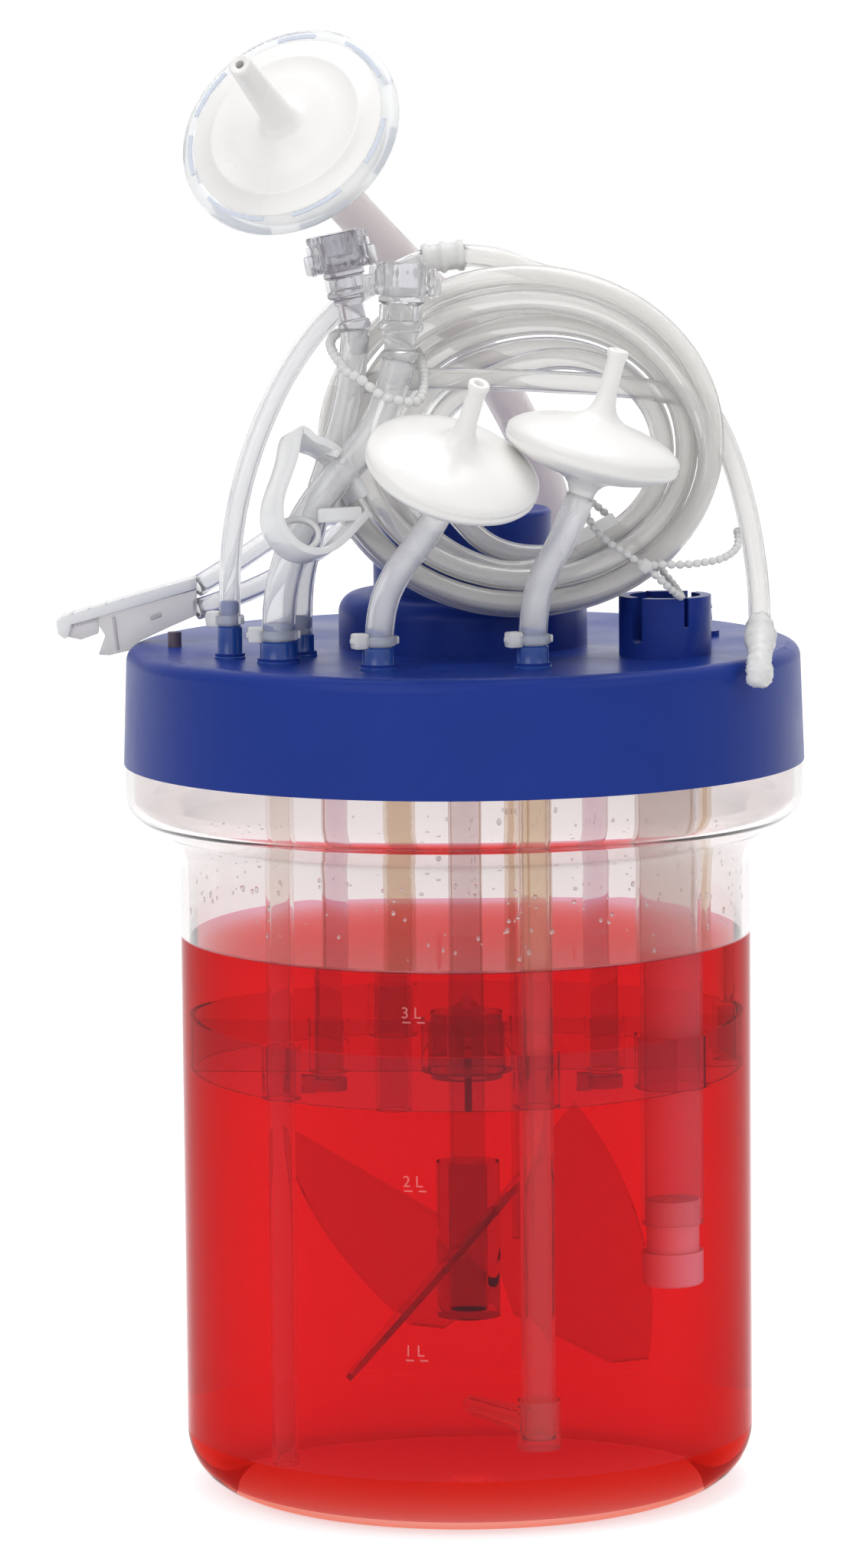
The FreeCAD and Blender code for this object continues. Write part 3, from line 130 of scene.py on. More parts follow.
def addFloor():
    form = bmesh.new()
    bmesh.ops.create_grid(form, x_segments=1, y_segments=1, size=lightFacts["floorSize"])
    mesh = bpy.data.meshes.new("floor")
    form.to_mesh(mesh)
    form.free()
    floor = addObject("floor", mesh)
    material = bpy.data.materials.new("paleFloor")
    material.use_nodes = True
    tree = material.node_tree
    tree.nodes.clear()
    output = addNode(tree, "OutputMaterial")
    add = addNode(tree, "AddShader")
    matt = addNode(tree, "BsdfDiffuse")
    lift = addNode(tree, "Emission")
    share = addNode(tree, "Math")
    share.operation = "MULTIPLY"
    share.inputs[1].default_value = lightFacts["floorLift"]
    matt.inputs["Color"].default_value = (*lightFacts["floorColour"], 1)
    tree.links.new(seenDirectly(tree), share.inputs[0])
    tree.links.new(share.outputs[0], lift.inputs["Strength"])
    tree.links.new(matt.outputs[0], add.inputs[0])
    tree.links.new(lift.outputs[0], add.inputs[1])
    tree.links.new(add.outputs[0], output.inputs["Surface"])
    mesh.materials.append(material)


setCamera()
setWorld()
addFloor()
for lamp, facts in lampFacts.items():
    addLamp(lamp + "Lamp", *facts, lightFacts[lamp])
bpy.context.scene.view_settings.view_transform = "Standard"
# light passes many walls of clear tubing one behind another
cycles = bpy.context.scene.cycles
cycles.max_bounces = cycles.transmission_bounces = lightFacts["bounces"]
print("camera, light and floor")


# ---- materials
# broad, fine and clear: the scale of the noise, and its detail
grainFacts = {"span": (0.3, 0.7), "broad": (28, 3), "fine": (700, 2), "bump": 0.03, "strength": 0.5,
              "gloss": (0.8, 1.25), "clear": (40, 3), "clearGloss": (0.5, 1.6)}


def startMaterial(name, colour, roughness):
    material = bpy.data.materials.new(name)
    material.use_nodes = True
    tree = material.node_tree
    shader = tree.nodes["Principled BSDF"]
    shader.inputs["Base Color"].default_value = (*colour, 1)
    shader.inputs["Roughness"].default_value = roughness
    material.diffuse_color = (*colour, 1)
    return material, tree, shader


def objectNoise(tree, scale, detail):
    where = addNode(tree, "TexCoord")
    noise = addNode(tree, "TexNoise")
    noise.inputs["Scale"].default_value = scale
    noise.inputs["Detail"].default_value = detail
    tree.links.new(where.outputs["Object"], noise.inputs["Vector"])
    return noise.outputs["Fac"]


def varyColour(tree, shader, fac, low, high, span):
    ramp = addNode(tree, "ValToRGB")
    for stop, colour, position in zip(ramp.color_ramp.elements, (low, high), span):
        stop.color, stop.position = (*colour, 1), position
    tree.links.new(fac, ramp.inputs[0])
    tree.links.new(ramp.outputs[0], shader.inputs["Base Color"])


def varyRoughness(tree, shader, fac, low, high):
    span = addNode(tree, "MapRange")
    span.inputs["From Min"].default_value, span.inputs["From Max"].default_value = grainFacts["span"]
    span.inputs["To Min"].default_value, span.inputs["To Max"].default_value = low, high
    tree.links.new(fac, span.inputs["Value"])
    tree.links.new(span.outputs[0], shader.inputs["Roughness"])


def addBump(tree, shader, fac):
    bump = addNode(tree, "Bump")
    bump.inputs["Strength"].default_value = grainFacts["strength"]
    bump.inputs["Distance"].default_value = grainFacts["bump"] * mm
    tree.links.new(fac, bump.inputs["Height"])
    tree.links.new(bump.outputs[0], shader.inputs["Normal"])


def mouldedPlastic(name, colour, roughness, wander=0.06, fine=grainFacts["fine"][0]):
    material, tree, shader = startMaterial(name, colour, roughness)
    broad = objectNoise(tree, *grainFacts["broad"])
    low, high = ([min(1, c * (1 + side * wander)) for c in colour] for side in (-1, 1))
    varyColour(tree, shader, broad, low, high, grainFacts["span"])
    varyRoughness(tree, shader, broad, *(roughness * share for share in grainFacts["gloss"]))
    addBump(tree, shader, objectNoise(tree, fine, grainFacts["fine"][1]))
    return material


def clearPlastic(name, colour, roughness, index, through=1.0):
    material, tree, shader = startMaterial(name, colour, roughness)
    shader.inputs["Transmission Weight"].default_value = through
    shader.inputs["IOR"].default_value = index
    cloudy = objectNoise(tree, *grainFacts["clear"])
    varyRoughness(tree, shader, cloudy, *(roughness * share for share in grainFacts["clearGloss"]))
    return material


def tintDepth(material, colour, density):
    # what the light loses on its way through, so that thick places and edges are darker
    tree = material.node_tree
    absorb = addNode(tree, "VolumeAbsorption")
    absorb.inputs["Color"].default_value = (*colour, 1)
    absorb.inputs["Density"].default_value = density
    tree.links.new(absorb.outputs[0], tree.nodes["Material Output"].inputs["Volume"])


def paintEdgeShade(material, colour, low, high):
    # painted edge shade: the base colour turns darker where a wall is seen edge on, standing in for the dark edges
    # that a longer way through the plastic and refraction give
    tree = material.node_tree
    shader = tree.nodes["Principled BSDF"]
    weight = addNode(tree, "LayerWeight")
    plain = shader.inputs["Base Color"].default_value[:3]
    varyColour(tree, shader, weight.outputs["Facing"], plain, colour, (low, high))


mouldedFinishes = {  # colour, roughness, how far the shade wanders, and the scale of the grain
    "blueLid": ((0.013, 0.038, 0.26), 0.3, 0.05),
    "darkPlastic": ((0.1, 0.075, 0.1), 0.35),
    "greyPlastic": ((0.45, 0.44, 0.46), 0.4),
    "palePlastic": ((1.0, 0.93, 0.9), 0.3, 0.02),
    "whitePlastic": ((0.88, 0.87, 0.85), 0.34, 0.03),
    "filterShell": ((0.9, 0.885, 0.86), 0.28, 0.02, 350),
    "shaftSteel": ((0.55, 0.53, 0.53), 0.3),
    "magnetMetal": ((0.66, 0.66, 0.68), 0.2),
    "sealRubber": ((0.03, 0.03, 0.035), 0.6),
    "barbBlue": ((0.01, 0.06, 0.31), 0.16, 0.04),
}
clearFinishes = {  # colour, roughness, index of refraction, and the share of light that goes through
    "clearShell": ((0.82, 0.775, 0.77), 0.01, 1.42),
    "wetShell": ((0.94, 0.68, 0.85), 0.01, 1.06, 0.976),
    "wetFoot": ((0.95, 0.4, 0.3), 0.01, 1.03, 0.978),
    "wetWall": ((1, 1, 1), 0.0, 1.0),
    "redMedium": ((0.75, 0.48, 0.53), 0.0, 1.0),
    "mediumSurface": ((1.0, 0.97, 0.97), 0.0, 1.02),
    "dipTube": ((0.985, 0.89, 0.76), 0.06, 1.12, 0.88),
    "sleeveShell": ((1.0, 0.95, 0.92), 0.06, 1.05, 0.82),
    "rodPlastic": ((0.93, 0.87, 0.89), 0.05, 1.14, 0.94),
    "clearShaft": ((0.9, 0.86, 0.86), 0.1, 1.1, 0.9),
    "faintTube": ((0.95, 0.91, 0.88), 0.05, 1.04, 0.97),
    "bladePlastic": ((0.84, 0.8, 0.8), 0.04, 1.09, 0.97),
    "bracePlastic": ((0.9, 0.74, 0.76), 0.05, 1.07, 0.97),
    "silicone": ((0.98, 0.98, 0.985), 0.08, 1.18, 0.78),
    "milkyTube": ((0.97, 0.97, 0.985), 0.2, 1.18, 0.72),
    "coilTube": ((1, 0.99, 0.975), 0.05, 1.2, 0.75),
    "ventHose": ((0.94, 0.895, 0.89), 0.35, 1.2, 0.6),
    "ventShell": ((0.975, 0.98, 0.985), 0.1, 1.15, 0.6),
    "weldBlue": ((0.82, 0.87, 0.97), 0.25, 1.2, 0.3),
    "clampPlastic": ((1, 1, 1), 0.12, 1.25, 0.25),
    "greyClear": ((0.78, 0.76, 0.77), 0.2, 1.3, 0.5),
    "tapeWhite": ((0.95, 0.945, 0.93), 0.35, 1.35, 0.25),
    "markPrint": ((1.0, 0.84, 0.78), 0.3, 1.08, 0.86),
    "waterDrop": ((1, 1, 1), 0.0, 1.1, 0.8),
    "couplingShell": ((0.86, 0.855, 0.875), 0.06, 1.36, 0.93),
    "paleCoupling": ((0.93, 0.93, 0.94), 0.06, 1.3, 0.9),
    "tieNylon": ((0.99, 0.985, 0.97), 0.22, 1.34, 0.35),
    "tieBand": ((0.9, 0.93, 0.99), 0.15, 1.3, 0.8),
}
depthTints = {  # colour and density of what fills the clear pieces
    "redMedium": ((0.955, 0.15, 0.065), 52),
    "rodPlastic": ((0.7, 0.35, 0.5), 50),
    "clearShaft": ((0.75, 0.5, 0.5), 42),
    "bladePlastic": ((0.68, 0.5, 0.52), 45),
    "bracePlastic": ((0.8, 0.3, 0.33), 28),
    "couplingShell": ((0.45, 0.43, 0.47), 75),
    "paleCoupling": ((0.5, 0.5, 0.52), 28),
}
paintedEdgeShades = {  # painted edge shade: its colour, and where it starts and is full, from 0 for face on to 1 for edge on
    "clearShell": ((0.6, 0.56, 0.54), 0.55, 1),
    "wetShell": ((0.45, 0.03, 0.035), 0.3, 0.78),
    "wetFoot": ((0.8, 0.08, 0.03), 0.2, 0.85),
}
otherSockets = {
    "blueLid": {"Specular IOR Level": 0.12},
    "clearShell": {"Specular Tint": (0.4, 0.4, 0.4, 1)},
    "filterShell": {"Coat Weight": 0.15},
    "shaftSteel": {"Metallic": 0.9},
    "magnetMetal": {"Metallic": 1.0},
    "silicone": {"Coat Weight": 0.6, "Coat Roughness": 0.08},
    "milkyTube": {"Coat Weight": 0.6, "Coat Roughness": 0.1},
    "coilTube": {"Coat Weight": 0.5, "Coat Roughness": 0.06},
}
finish = {name: mouldedPlastic(name, *facts) for name, facts in mouldedFinishes.items()}
finish.update({name: clearPlastic(name, *facts) for name, facts in clearFinishes.items()})
for name, facts in depthTints.items():
    tintDepth(finish[name], *facts)
# paint the edge shade on the clear and wet shell walls
for name, facts in paintedEdgeShades.items():
    paintEdgeShade(finish[name], *facts)
for name, sockets in otherSockets.items():
    for socket, value in sockets.items():
        finish[name].node_tree.nodes["Principled BSDF"].inputs[socket].default_value = value


def paint(node, material):
    mesh = nodes[node].data
    mesh.materials.clear()
    mesh.materials.append(finish[material])


finishOf = {
    "blueLid": ["lid", "drive_turret"],
    "sealRubber": ["lid_seal"],
    "faintTube": ["harvest_dip_tube"],
    "dipTube": ["sparge_dip_tube", "feed_dip_tube", "base_dip_tube", "level_dip_tube", "sparge_nozzle"],
    "sleeveShell": ["sensor_sleeve"],
    "darkPlastic": ["deck_plug", "magnet_carrier", "shaft_collar"],
    "rodPlastic": ["left_support_rod", "right_support_rod", "steady_bush"],
    "clearShaft": ["shaft"],
    "greyPlastic": ["bearing_housing", "bearing_spacer"],
    "palePlastic": ["sensor_tip"],
    "shaftSteel": ["lower_bearing_outer", "lower_bearing_inner", "lower_bearing_balls",
                   "upper_bearing_outer", "upper_bearing_inner", "upper_bearing_balls"],
    "magnetMetal": ["drive_magnets"],
    "bladePlastic": ["impeller"],
    "bracePlastic": ["tube_brace"],
    "whitePlastic": ["coil_fitting"],
    "tieNylon": ["left_tube_tie", "right_tube_tie"],
}
for material, names in finishOf.items():
    for node in names:
        paint(node, material)
print("materials:", len(finish))


# ---- shared modelling steps
def settle(piece, body="vessel_assembly", replaced=()):
    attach(piece, body)
    if replaced:
        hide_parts(*replaced)
    return piece


def put(name, form, material, body="vessel_assembly", replaced=(), sharp=35):
    mesh = bpy.data.meshes.new(name)
    form.normal_update()
    for face in form.faces:
        face.smooth = True
    for edge in form.edges:
        if len(edge.link_faces) == 2 and edge.calc_face_angle(0) > math.radians(sharp):
            edge.smooth = False
    form.to_mesh(mesh)
    form.free()
    mesh.materials.append(finish[material])
    return settle(addObject(name, mesh), body, replaced)


def nodeNamed(name):
    # the frame's name for a piece: gasLine is gas_line
    return "".join("_" + letter.lower() if letter.isupper() else letter for letter in name)


def mirrored(half):
    return half + [(r, -z) for r, z in half[::-1]]


def faceOutwards(form, faces=None):
    bmesh.ops.recalc_face_normals(form, faces=faces or form.faces)


def swept(form, geom, angle, steps, merged):
    bmesh.ops.spin(form, geom=geom, cent=(0, 0, 0), axis=(0, 0, 1), dvec=(0, 0, 0), angle=math.radians(angle),
                   steps=steps, use_merge=merged, use_duplicate=False)


def lathe(outline, steps=64, closed=False):
    form = bmesh.new()
    verts = [form.verts.new((r * mm, 0, z * mm)) for r, z in outline]
    pairs = list(zip(verts, verts[1:])) + ([(verts[-1], verts[0])] if closed else [])
    edges = [form.edges.new(pair) for pair in pairs]
    swept(form, verts + edges, 360, steps, True)
    bmesh.ops.remove_doubles(form, verts=form.verts, dist=1e-6)
    faceOutwards(form)
    return form


def newVerts(form, kept):
    return [v for v in form.verts if v not in kept]


def around(verts, part="link_faces"):
    # each one once, in an order that is the same in every run
    return list(dict.fromkeys(touching for v in verts for touching in getattr(v, part)))


def turned(tilt):
    # degrees about X, then Y, then Z
    turns = [Matrix.Rotation(math.radians(angle), 4, axis) for angle, axis in zip(tilt, "XYZ")]
    return turns[2] @ turns[1] @ turns[0]


def moveRaised(form, raised, move):
    verts = [v for v in raised["geom"] if isinstance(v, bmesh.types.BMVert)]
    bmesh.ops.translate(form, vec=Vector(move) * mm, verts=verts)


def softened(form, offset, geom=None, limit=30):
    form.normal_update()
    hard = [e for e in (geom or form.edges)
            if len(e.link_faces) == 2 and e.calc_face_angle(0) > math.radians(limit)]
    bmesh.ops.bevel(form, geom=hard, offset=offset * mm, affect="EDGES", segments=2, profile=0.5, material=-1,
                    clamp_overlap=True)


def addBlock(form, size, centre, about=0, soft=0.3, tilt=(0, 0, 0)):
    kept = set(form.verts)
    bmesh.ops.create_cube(form, size=1)
    made = newVerts(form, kept)
    bmesh.ops.scale(form, vec=Vector(size) * mm, verts=made)
    softened(form, soft, around(made, "link_edges"))
    move = turned((0, 0, about)) @ Matrix.Translation(Vector(centre) * mm) @ turned(tilt)
    bmesh.ops.transform(form, matrix=move, verts=newVerts(form, kept))


def addOutline(form, corners, low, high, soft=0.4):
    # a flat moulding drawn along X and Z, thick along Y
    kept = set(form.verts)
    face = form.faces.new([form.verts.new((x * mm, low * mm, z * mm)) for x, z in corners])
    moveRaised(form, bmesh.ops.extrude_face_region(form, geom=[face]), (0, high - low, 0))
    made = newVerts(form, kept)
    faceOutwards(form, around(made))
    softened(form, soft, around(made, "link_edges"))


def aimed(way):
    return Vector((0, 0, 1)).rotation_difference(Vector(way).normalized()).to_matrix().to_4x4()


def laid(form, centre, way):
    bmesh.ops.transform(form, matrix=Matrix.Translation(Vector(centre) * mm) @ aimed(way), verts=form.verts)
    return form


# ---- cords
limp = {"wall": 1.0, "finish": "silicone", "slot": "silicone", "stiff": "limp"}
hoseFacts = {
    "ventHose": {
        "radius": 6.0, "wall": 1.6, "finish": "ventHose", "slot": "hose", "stiff": "medium", "length": 0.186,
        "points": [(30.03, 66.21, 250.1), (30.03, 66.21, 270), (24.5, 57, 294), (13, 43.5, 319), (-1, 30.5, 341),
                   (-17, 16.5, 359), (-33.86, -9.21, 378.29), (-39.73, -21.33, 386.92)]},
    "gasLine": {
        **limp, "radius": 3.1, "length": 0.135,
        "points": [(-66.98, -35.91, 250.1), (-66.98, -35.91, 269), (-66.2, -35.4, 283), (-63, -34.5, 299),
                   (-57.5, -33.5, 315), (-49.5, -32, 331), (-39, -30.5, 345), (-26, -29, 355.5),
                   (-10, -27.4, 361.9)]},
    "harvestLine": {
        **limp, "radius": 4.8, "length": 0.097,
        "points": [(-52.82, -49.95, 250.1), (-52.82, -49.95, 263), (-50.2, -54.8, 277), (-44.5, -60, 291),
                   (-35.5, -61.3, 302.5), (-26.8, -58.4, 311.5), (-20.8, -55.6, 321.8), (-17.6, -54.5, 335)]},
    "sampleLine": {
        **limp, "radius": 4.1, "length": 0.101,
        "points": [(-47.5, -30.96, 250.1), (-47.5, -30.96, 259.8), (-46.9, -34.6, 270), (-45, -41.5, 279),
                   (-42.8, -47.6, 287.5), (-40.6, -51.4, 296.5), (-37.4, -52.3, 306), (-33.6, -50, 317.5),
                   (-30.8, -47.6, 330.5), (-30, -45.6, 343)]},
    "frontFilterLine": {
        **limp, "radius": 4.1, "length": 0.0495, "finish": "milkyTube",
        "points": [(-24.15, -68.57, 250.1), (-24.15, -68.57, 264.5), (-18.5, -70.4, 277), (-10.5, -73.8, 286.5),
                   (-6.79, -78.06, 293.90)]},
    "sideFilterLine": {
        **limp, "radius": 4.1, "length": 0.0495, "finish": "milkyTube",
        "points": [(19.25, -68.03, 250.1), (19.25, -68.03, 262.5), (22.2, -69.2, 275), (28.5, -71.3, 285.5),
                   (33.06, -70.52, 297.14)]},
    "upperBackLine": {
        **limp, "radius": 3.1, "length": 0.104, "wall": 0.9,
        "points": [(-19.67, 69.99, 250.1), (-19.67, 69.99, 261), (-23.6, 65, 272.5), (-31, 56.8, 280.3),
                   (-42, 45.8, 282.6), (-54.5, 33.6, 278), (-67, 21.8, 270.3), (-78, 14.4, 264.4)]},
    "lowerBackLine": {
        **limp, "radius": 3.1, "length": 0.142, "wall": 0.9,
        "points": [(14.49, 71.24, 250.1), (14.49, 71.24, 263), (10.5, 67, 277), (1, 60, 288.5), (-13, 50.5, 290),
                   (-28, 41, 283), (-43, 32.5, 273), (-59, 23, 263), (-78, 13.6, 257.8)]},
}


def layLine(name, points, resolution):
    curve = bpy.data.curves.new(name + "Line", "CURVE")
    curve.dimensions = "3D"
    spline = curve.splines.new("NURBS")
    spline.points.add(len(points) - 1)
    for spot, point in zip(spline.points, points):
        spot.co = (*(c * mm for c in point), 1)
    spline.order_u = 3
    spline.use_endpoint_u = True
    spline.resolution_u = resolution
    return addObject(name + "Line", curve)


def meshOf(line):
    bpy.context.view_layer.update()
    return bpy.data.meshes.new_from_object(line.evaluated_get(bpy.context.evaluated_depsgraph_get()))


def pathOf(line):
    bare = meshOf(line)
    path = [v.co.copy() for v in bare.vertices]
    bpy.data.meshes.remove(bare)
    return path


def formOf(line):
    form, bare = bmesh.new(), meshOf(line)
    form.from_mesh(bare)
    bpy.data.meshes.remove(bare)
    bpy.data.objects.remove(line)
    return form


def hollowTube(name, points, radius, wall, material, replaced, resolution=10):
    line = layLine(name, points, resolution)
    path = [tuple(spot) for spot in pathOf(line)]
    line.data.bevel_depth, line.data.bevel_resolution = radius * mm, 8
    mesh = meshOf(line)
    mesh.name = name
    for face in mesh.polygons:
        face.use_smooth = True
    mesh.materials.clear()
    mesh.materials.append(finish[material])
    piece = settle(addObject(name, mesh), replaced=replaced)
    bore = piece.modifiers.new("bore", "SOLIDIFY")
    bore.thickness, bore.offset, bore.use_rim = wall * mm, -1, True
    bpy.data.objects.remove(line)
    return piece, path


for name, facts in hoseFacts.items():
    points, radius = facts["points"], facts["radius"]
    hose, path = hollowTube(name, points, radius, facts["wall"], facts["finish"], [nodeNamed(name)])
print("hoses and lines:", len(hoseFacts))

# ---- coil of spare tubing: one line from the joiner, round the coil and down over the rim
coilFacts = {
    "centre": (16.8, -35.6, 310.3), "lean": 12, "radii": (55.5, 48.0), "radius": 3.2, "wall": 0.9, "level": 6.5,
    "perTurn": 24, "bunchedAt": -32, "startAngle": 84,
    "short": 0.16,  # how much of its last turn is left out
    # where in its first and last turn the line moves to the next level, and how much of a turn that takes
    "crossAt": (0.9, 0.1), "crossing": 0.11,
    # each turn's level, then its inset where the turns are bunched and where they fan out
    "turns": [(0, 0.0, 0.0), (-1, 0.2, 3.5), (-1, 6.8, 12.5), (-1, 13.4, 23.0), (0, 13.2, 30.5), (0, 6.7, 17.0),
              (1, 6.6, 9.0), (1, 0.0, 1.5)],
    "lead": [(0, -26.8, 362.9), (10, -26.4, 362.7)],
    "tail": [(66, -33.2, 325), (73.5, -34.4, 314), (78.5, -35.4, 301), (81.8, -36.8, 288), (83.8, -39, 275),
             (84.6, -42.6, 264.6), (84.4, -48.5, 257.6)],
}


def onCoil(along, up, out):
    lean = math.radians(coilFacts["lean"])
    x, y, z = coilFacts["centre"]
    return (x + along, y + up * math.sin(lean) - out * math.cos(lean), z + up * math.cos(lean) + out * math.sin(lean))


def eased(t):
    t = min(1, max(0, t))
    return t * t * (3 - 2 * t)


def coilPoints():
    turns, perTurn = coilFacts["turns"], coilFacts["perTurn"]
    last = len(turns) - 1
    across, tall = coilFacts["radii"]
    points = []
    for step in range(int((last + 1 - coilFacts["short"]) * perTurn)):
        number = int(step / perTurn)
        phase = step / perTurn - number
        angle = math.radians(coilFacts["startAngle"] - 360 * step / perTurn)
        early, late = coilFacts["crossAt"]
        # later turns change level earlier, so that none meets its neighbour
        crossAt = early + (late - early) * number / last
        move = eased((phase - crossAt) / coilFacts["crossing"] + 0.5)
        level, bunched, fanned = (a + (b - a) * move for a, b in zip(turns[number], turns[min(number + 1, last)]))
        spread = (1 - math.cos(angle - math.radians(coilFacts["bunchedAt"]))) / 2
        inset = bunched + (fanned - bunched) * spread
        reach = 1 / math.hypot(math.cos(angle) / across, math.sin(angle) / tall) - inset
        points.append(onCoil(reach * math.cos(angle), reach * math.sin(angle), level * coilFacts["level"]))
    return points


coilRoute = coilFacts["lead"] + coilPoints() + coilFacts["tail"]
coil, coilPath = hollowTube("coilTubing", coilRoute, coilFacts["radius"], coilFacts["wall"], "coilTube",
                            ["tubing_coil", "coil_lead", "coil_tail"], 5)

# ---- disc filters
ventFacts = {
    "centre": (-47.8, -38, 398.8), "way": (-0.367, -0.758, 0.54),
    "ribs": 16, "rib": (17.5, 0.9, 1.1), "ribAt": (17.6, 0, -5.2), "ribLean": -14.5,
    "body": [(0, 9), (1.3, 9), (1.3, 36.9), (1.7, 37.2), (2.9, 37.2), (3.3, 36.7), (3.35, 35.4), (4.5, 12.5),
             (4.9, 9.6), (6, 7.6), (8.2, 6.8), (13.4, 6.4), (15.3, 6.05), (21.6, 4.45), (22.1, 4.7), (23.1, 4.45),
             (23.6, 3.95), (27.6, 3.05), (28.8, 2.7), (28.8, -2.7), (27.6, -3.05), (15.3, -6.05), (13.4, -6.4),
             (8.6, -6.8), (6.4, -7.7), (5.2, -9.8), (4.8, -12), (3.7, -21), (3.6, -22.2), (4.2, -22.9),
             (3.7, -25.2), (3.2, -27.6), (0, -27.6)],
    "rim": mirrored([(28.5, 2.5), (29.1, 2.85), (31.6, 2.75), (32.4, 2.2), (32.8, 1.2)]),
    # weld bars that show in the clear rim: their ring, their two levels, and start and sweep in degrees
    "weldRing": (29.5, 30.6), "weldLevels": [(2.3, 3.0), (-3.0, -2.3)],
    "welds": [(8, 34), (62, 22), (118, 30), (160, 26), (205, 40), (262, 30), (312, 28)],
}
lensFacts = {
    "frontFilter": {"centre": (-3, -84, 306), "way": (0.271, -0.425, 0.865)},
    "sideFilter": {"centre": (36.6, -72, 310.6), "way": (0.253, -0.106, 0.961)},
}
lensOutline = [(0, 15), (1.3, 15), (1.3, 28.6), (1.7, 29), (2.7, 29), (3.05, 28.6), (3.05, 27.4), (2.65, 26.4),
               (2.55, 24), (2.7, 17), (3.1, 13.6), (4.0, 11.3), (5.6, 9.6), (8, 8.35)]
lensOutline += mirrored([(11, 7.55), (15, 6.6), (19, 5.35), (22, 3.95), (24, 2.6), (24.8, 1.6), (25, 0.6),
                         (24.8, 0.25)])
lensOutline += [(8, -8.4), (5.9, -9.5), (4.5, -11), (3.8, -12.7), (3.6, -14), (2.9, -14.3), (3.2, -16.5),
                (2.8, -18.8), (0, -18.8)]


def addArcBar(form, ring, levels, start, sweep):
    (inner, outer), (low, high) = ring, levels
    corners = ((inner, low), (outer, low), (outer, high), (inner, high))
    verts = [form.verts.new((r * mm, 0, z * mm)) for r, z in corners]
    turn = Matrix.Rotation(math.radians(start), 3, "Z")
    bmesh.ops.rotate(form, cent=(0, 0, 0), matrix=turn, verts=verts)
    swept(form, [form.faces.new(verts)], sweep, max(3, int(sweep / 4)), False)
    faceOutwards(form)


def makeVentFilter():
    place = ventFacts["centre"], ventFacts["way"]
    body = lathe(ventFacts["body"], 96)
    for number in range(ventFacts["ribs"]):
        addBlock(body, ventFacts["rib"], ventFacts["ribAt"], about=number * 360 / ventFacts["ribs"], soft=0.25,
                 tilt=(0, ventFacts["ribLean"], 0))
    put("ventFilterBody", laid(body, *place), "filterShell",
        replaced=["vent_filter_housing", "vent_filter_membrane"], sharp=50)
    rim = lathe(ventFacts["rim"], 96, closed=True)
    put("ventFilterRim", laid(rim, *place), "ventShell", sharp=60)
    welds = bmesh.new()
    for start, sweep in ventFacts["welds"]:
        for levels in ventFacts["weldLevels"]:
            addArcBar(welds, ventFacts["weldRing"], levels, start, sweep)
    put("ventFilterWelds", laid(welds, *place), "weldBlue")


makeVentFilter()
for name, facts in lensFacts.items():
    put(name, laid(lathe(lensOutline, 80), facts["centre"], facts["way"]), "filterShell",
        replaced=[nodeNamed(name)], sharp=70)
print("filters:", 1 + len(lensFacts))

# ---- line couplings and their locks
couplingFacts = {
    "left": {
        "centre": (-30, -45.6, 343), "way": (-0.19, 0.02, 0.98), "fins": 6,
        "fin": (1.4, 0.8, 3.6), "finAt": (5.0, 13.4),
        "outline": [(0, -7), (2.5, -7), (3.0, -5.6), (2.6, -5), (3.0, -2.8), (2.6, -2.3), (2.6, -0.4), (4.2, 0),
                    (4.6, 0.5), (4.6, 2.3), (3.7, 3), (3.7, 7.2), (4.4, 8), (4.6, 9.3), (5.5, 9.7), (5.9, 10.2),
                    (5.9, 11.2), (4.7, 12), (4.7, 15), (5.9, 15.7), (5.9, 16.9), (5.5, 17.15), (5.5, 27.4),
                    (5.1, 28), (3.6, 28), (3.2, 21), (0, 20)],
        "ring": [(5.8, 17.4), (8.2, 17.4), (8.7, 17.9), (8.7, 19.4), (8.2, 20), (8.2, 25.6), (8.7, 26.2),
                 (8.7, 27.5), (8.3, 28), (6.5, 28), (5.8, 27.3)],
        "flutes": 20, "wing": (3.0, 4.4, 5.6), "wingAt": (8.9, 20.2), "ringName": "leftLockingRing",
        "finish": "couplingShell",
    },
    "right": {
        "centre": (-17.6, -54.5, 335), "way": (0.05, 0.01, 1), "fins": 8,
        "fin": (1.4, 0.8, 4.4), "finAt": (5.5, 13.3),
        "outline": [(0, -7), (3.0, -7), (3.6, -5.6), (3.2, -5), (3.6, -2.8), (3.2, -2.3), (3.2, -0.4), (4.8, 0),
                    (5.3, 0.6), (5.3, 2), (4.4, 2.7), (4.4, 6), (5.1, 6.9), (5.3, 7.9), (6.1, 8.2), (6.5, 8.8),
                    (6.5, 10.2), (5.2, 11), (5.2, 15.4), (6.5, 16.2), (6.5, 17.6), (5.9, 17.95), (4.9, 18),
                    (4.9, 27.2), (4.5, 27.5), (0, 27.5)],
        "ring": [(5.2, 18.2), (7.6, 18.2), (8.4, 19), (8.4, 20.6), (7.9, 21.3), (7.9, 24.8), (7.2, 26.6),
                 (6.2, 27.4), (5.2, 27.4)],
        "flutes": 16, "wing": (3.8, 4.4, 5.6), "wingAt": (9.1, 20.9), "ringName": "rightLockingCap",
        "finish": "paleCoupling",
    },
}
# the flutes round a lock, and the nub on each wing: its share of the wing, and how far out and up from it
lockFacts = {"from": 7, "dip": 0.055, "nub": (0.5, 0.35, 1.5), "nubAt": (-0.6, 1)}


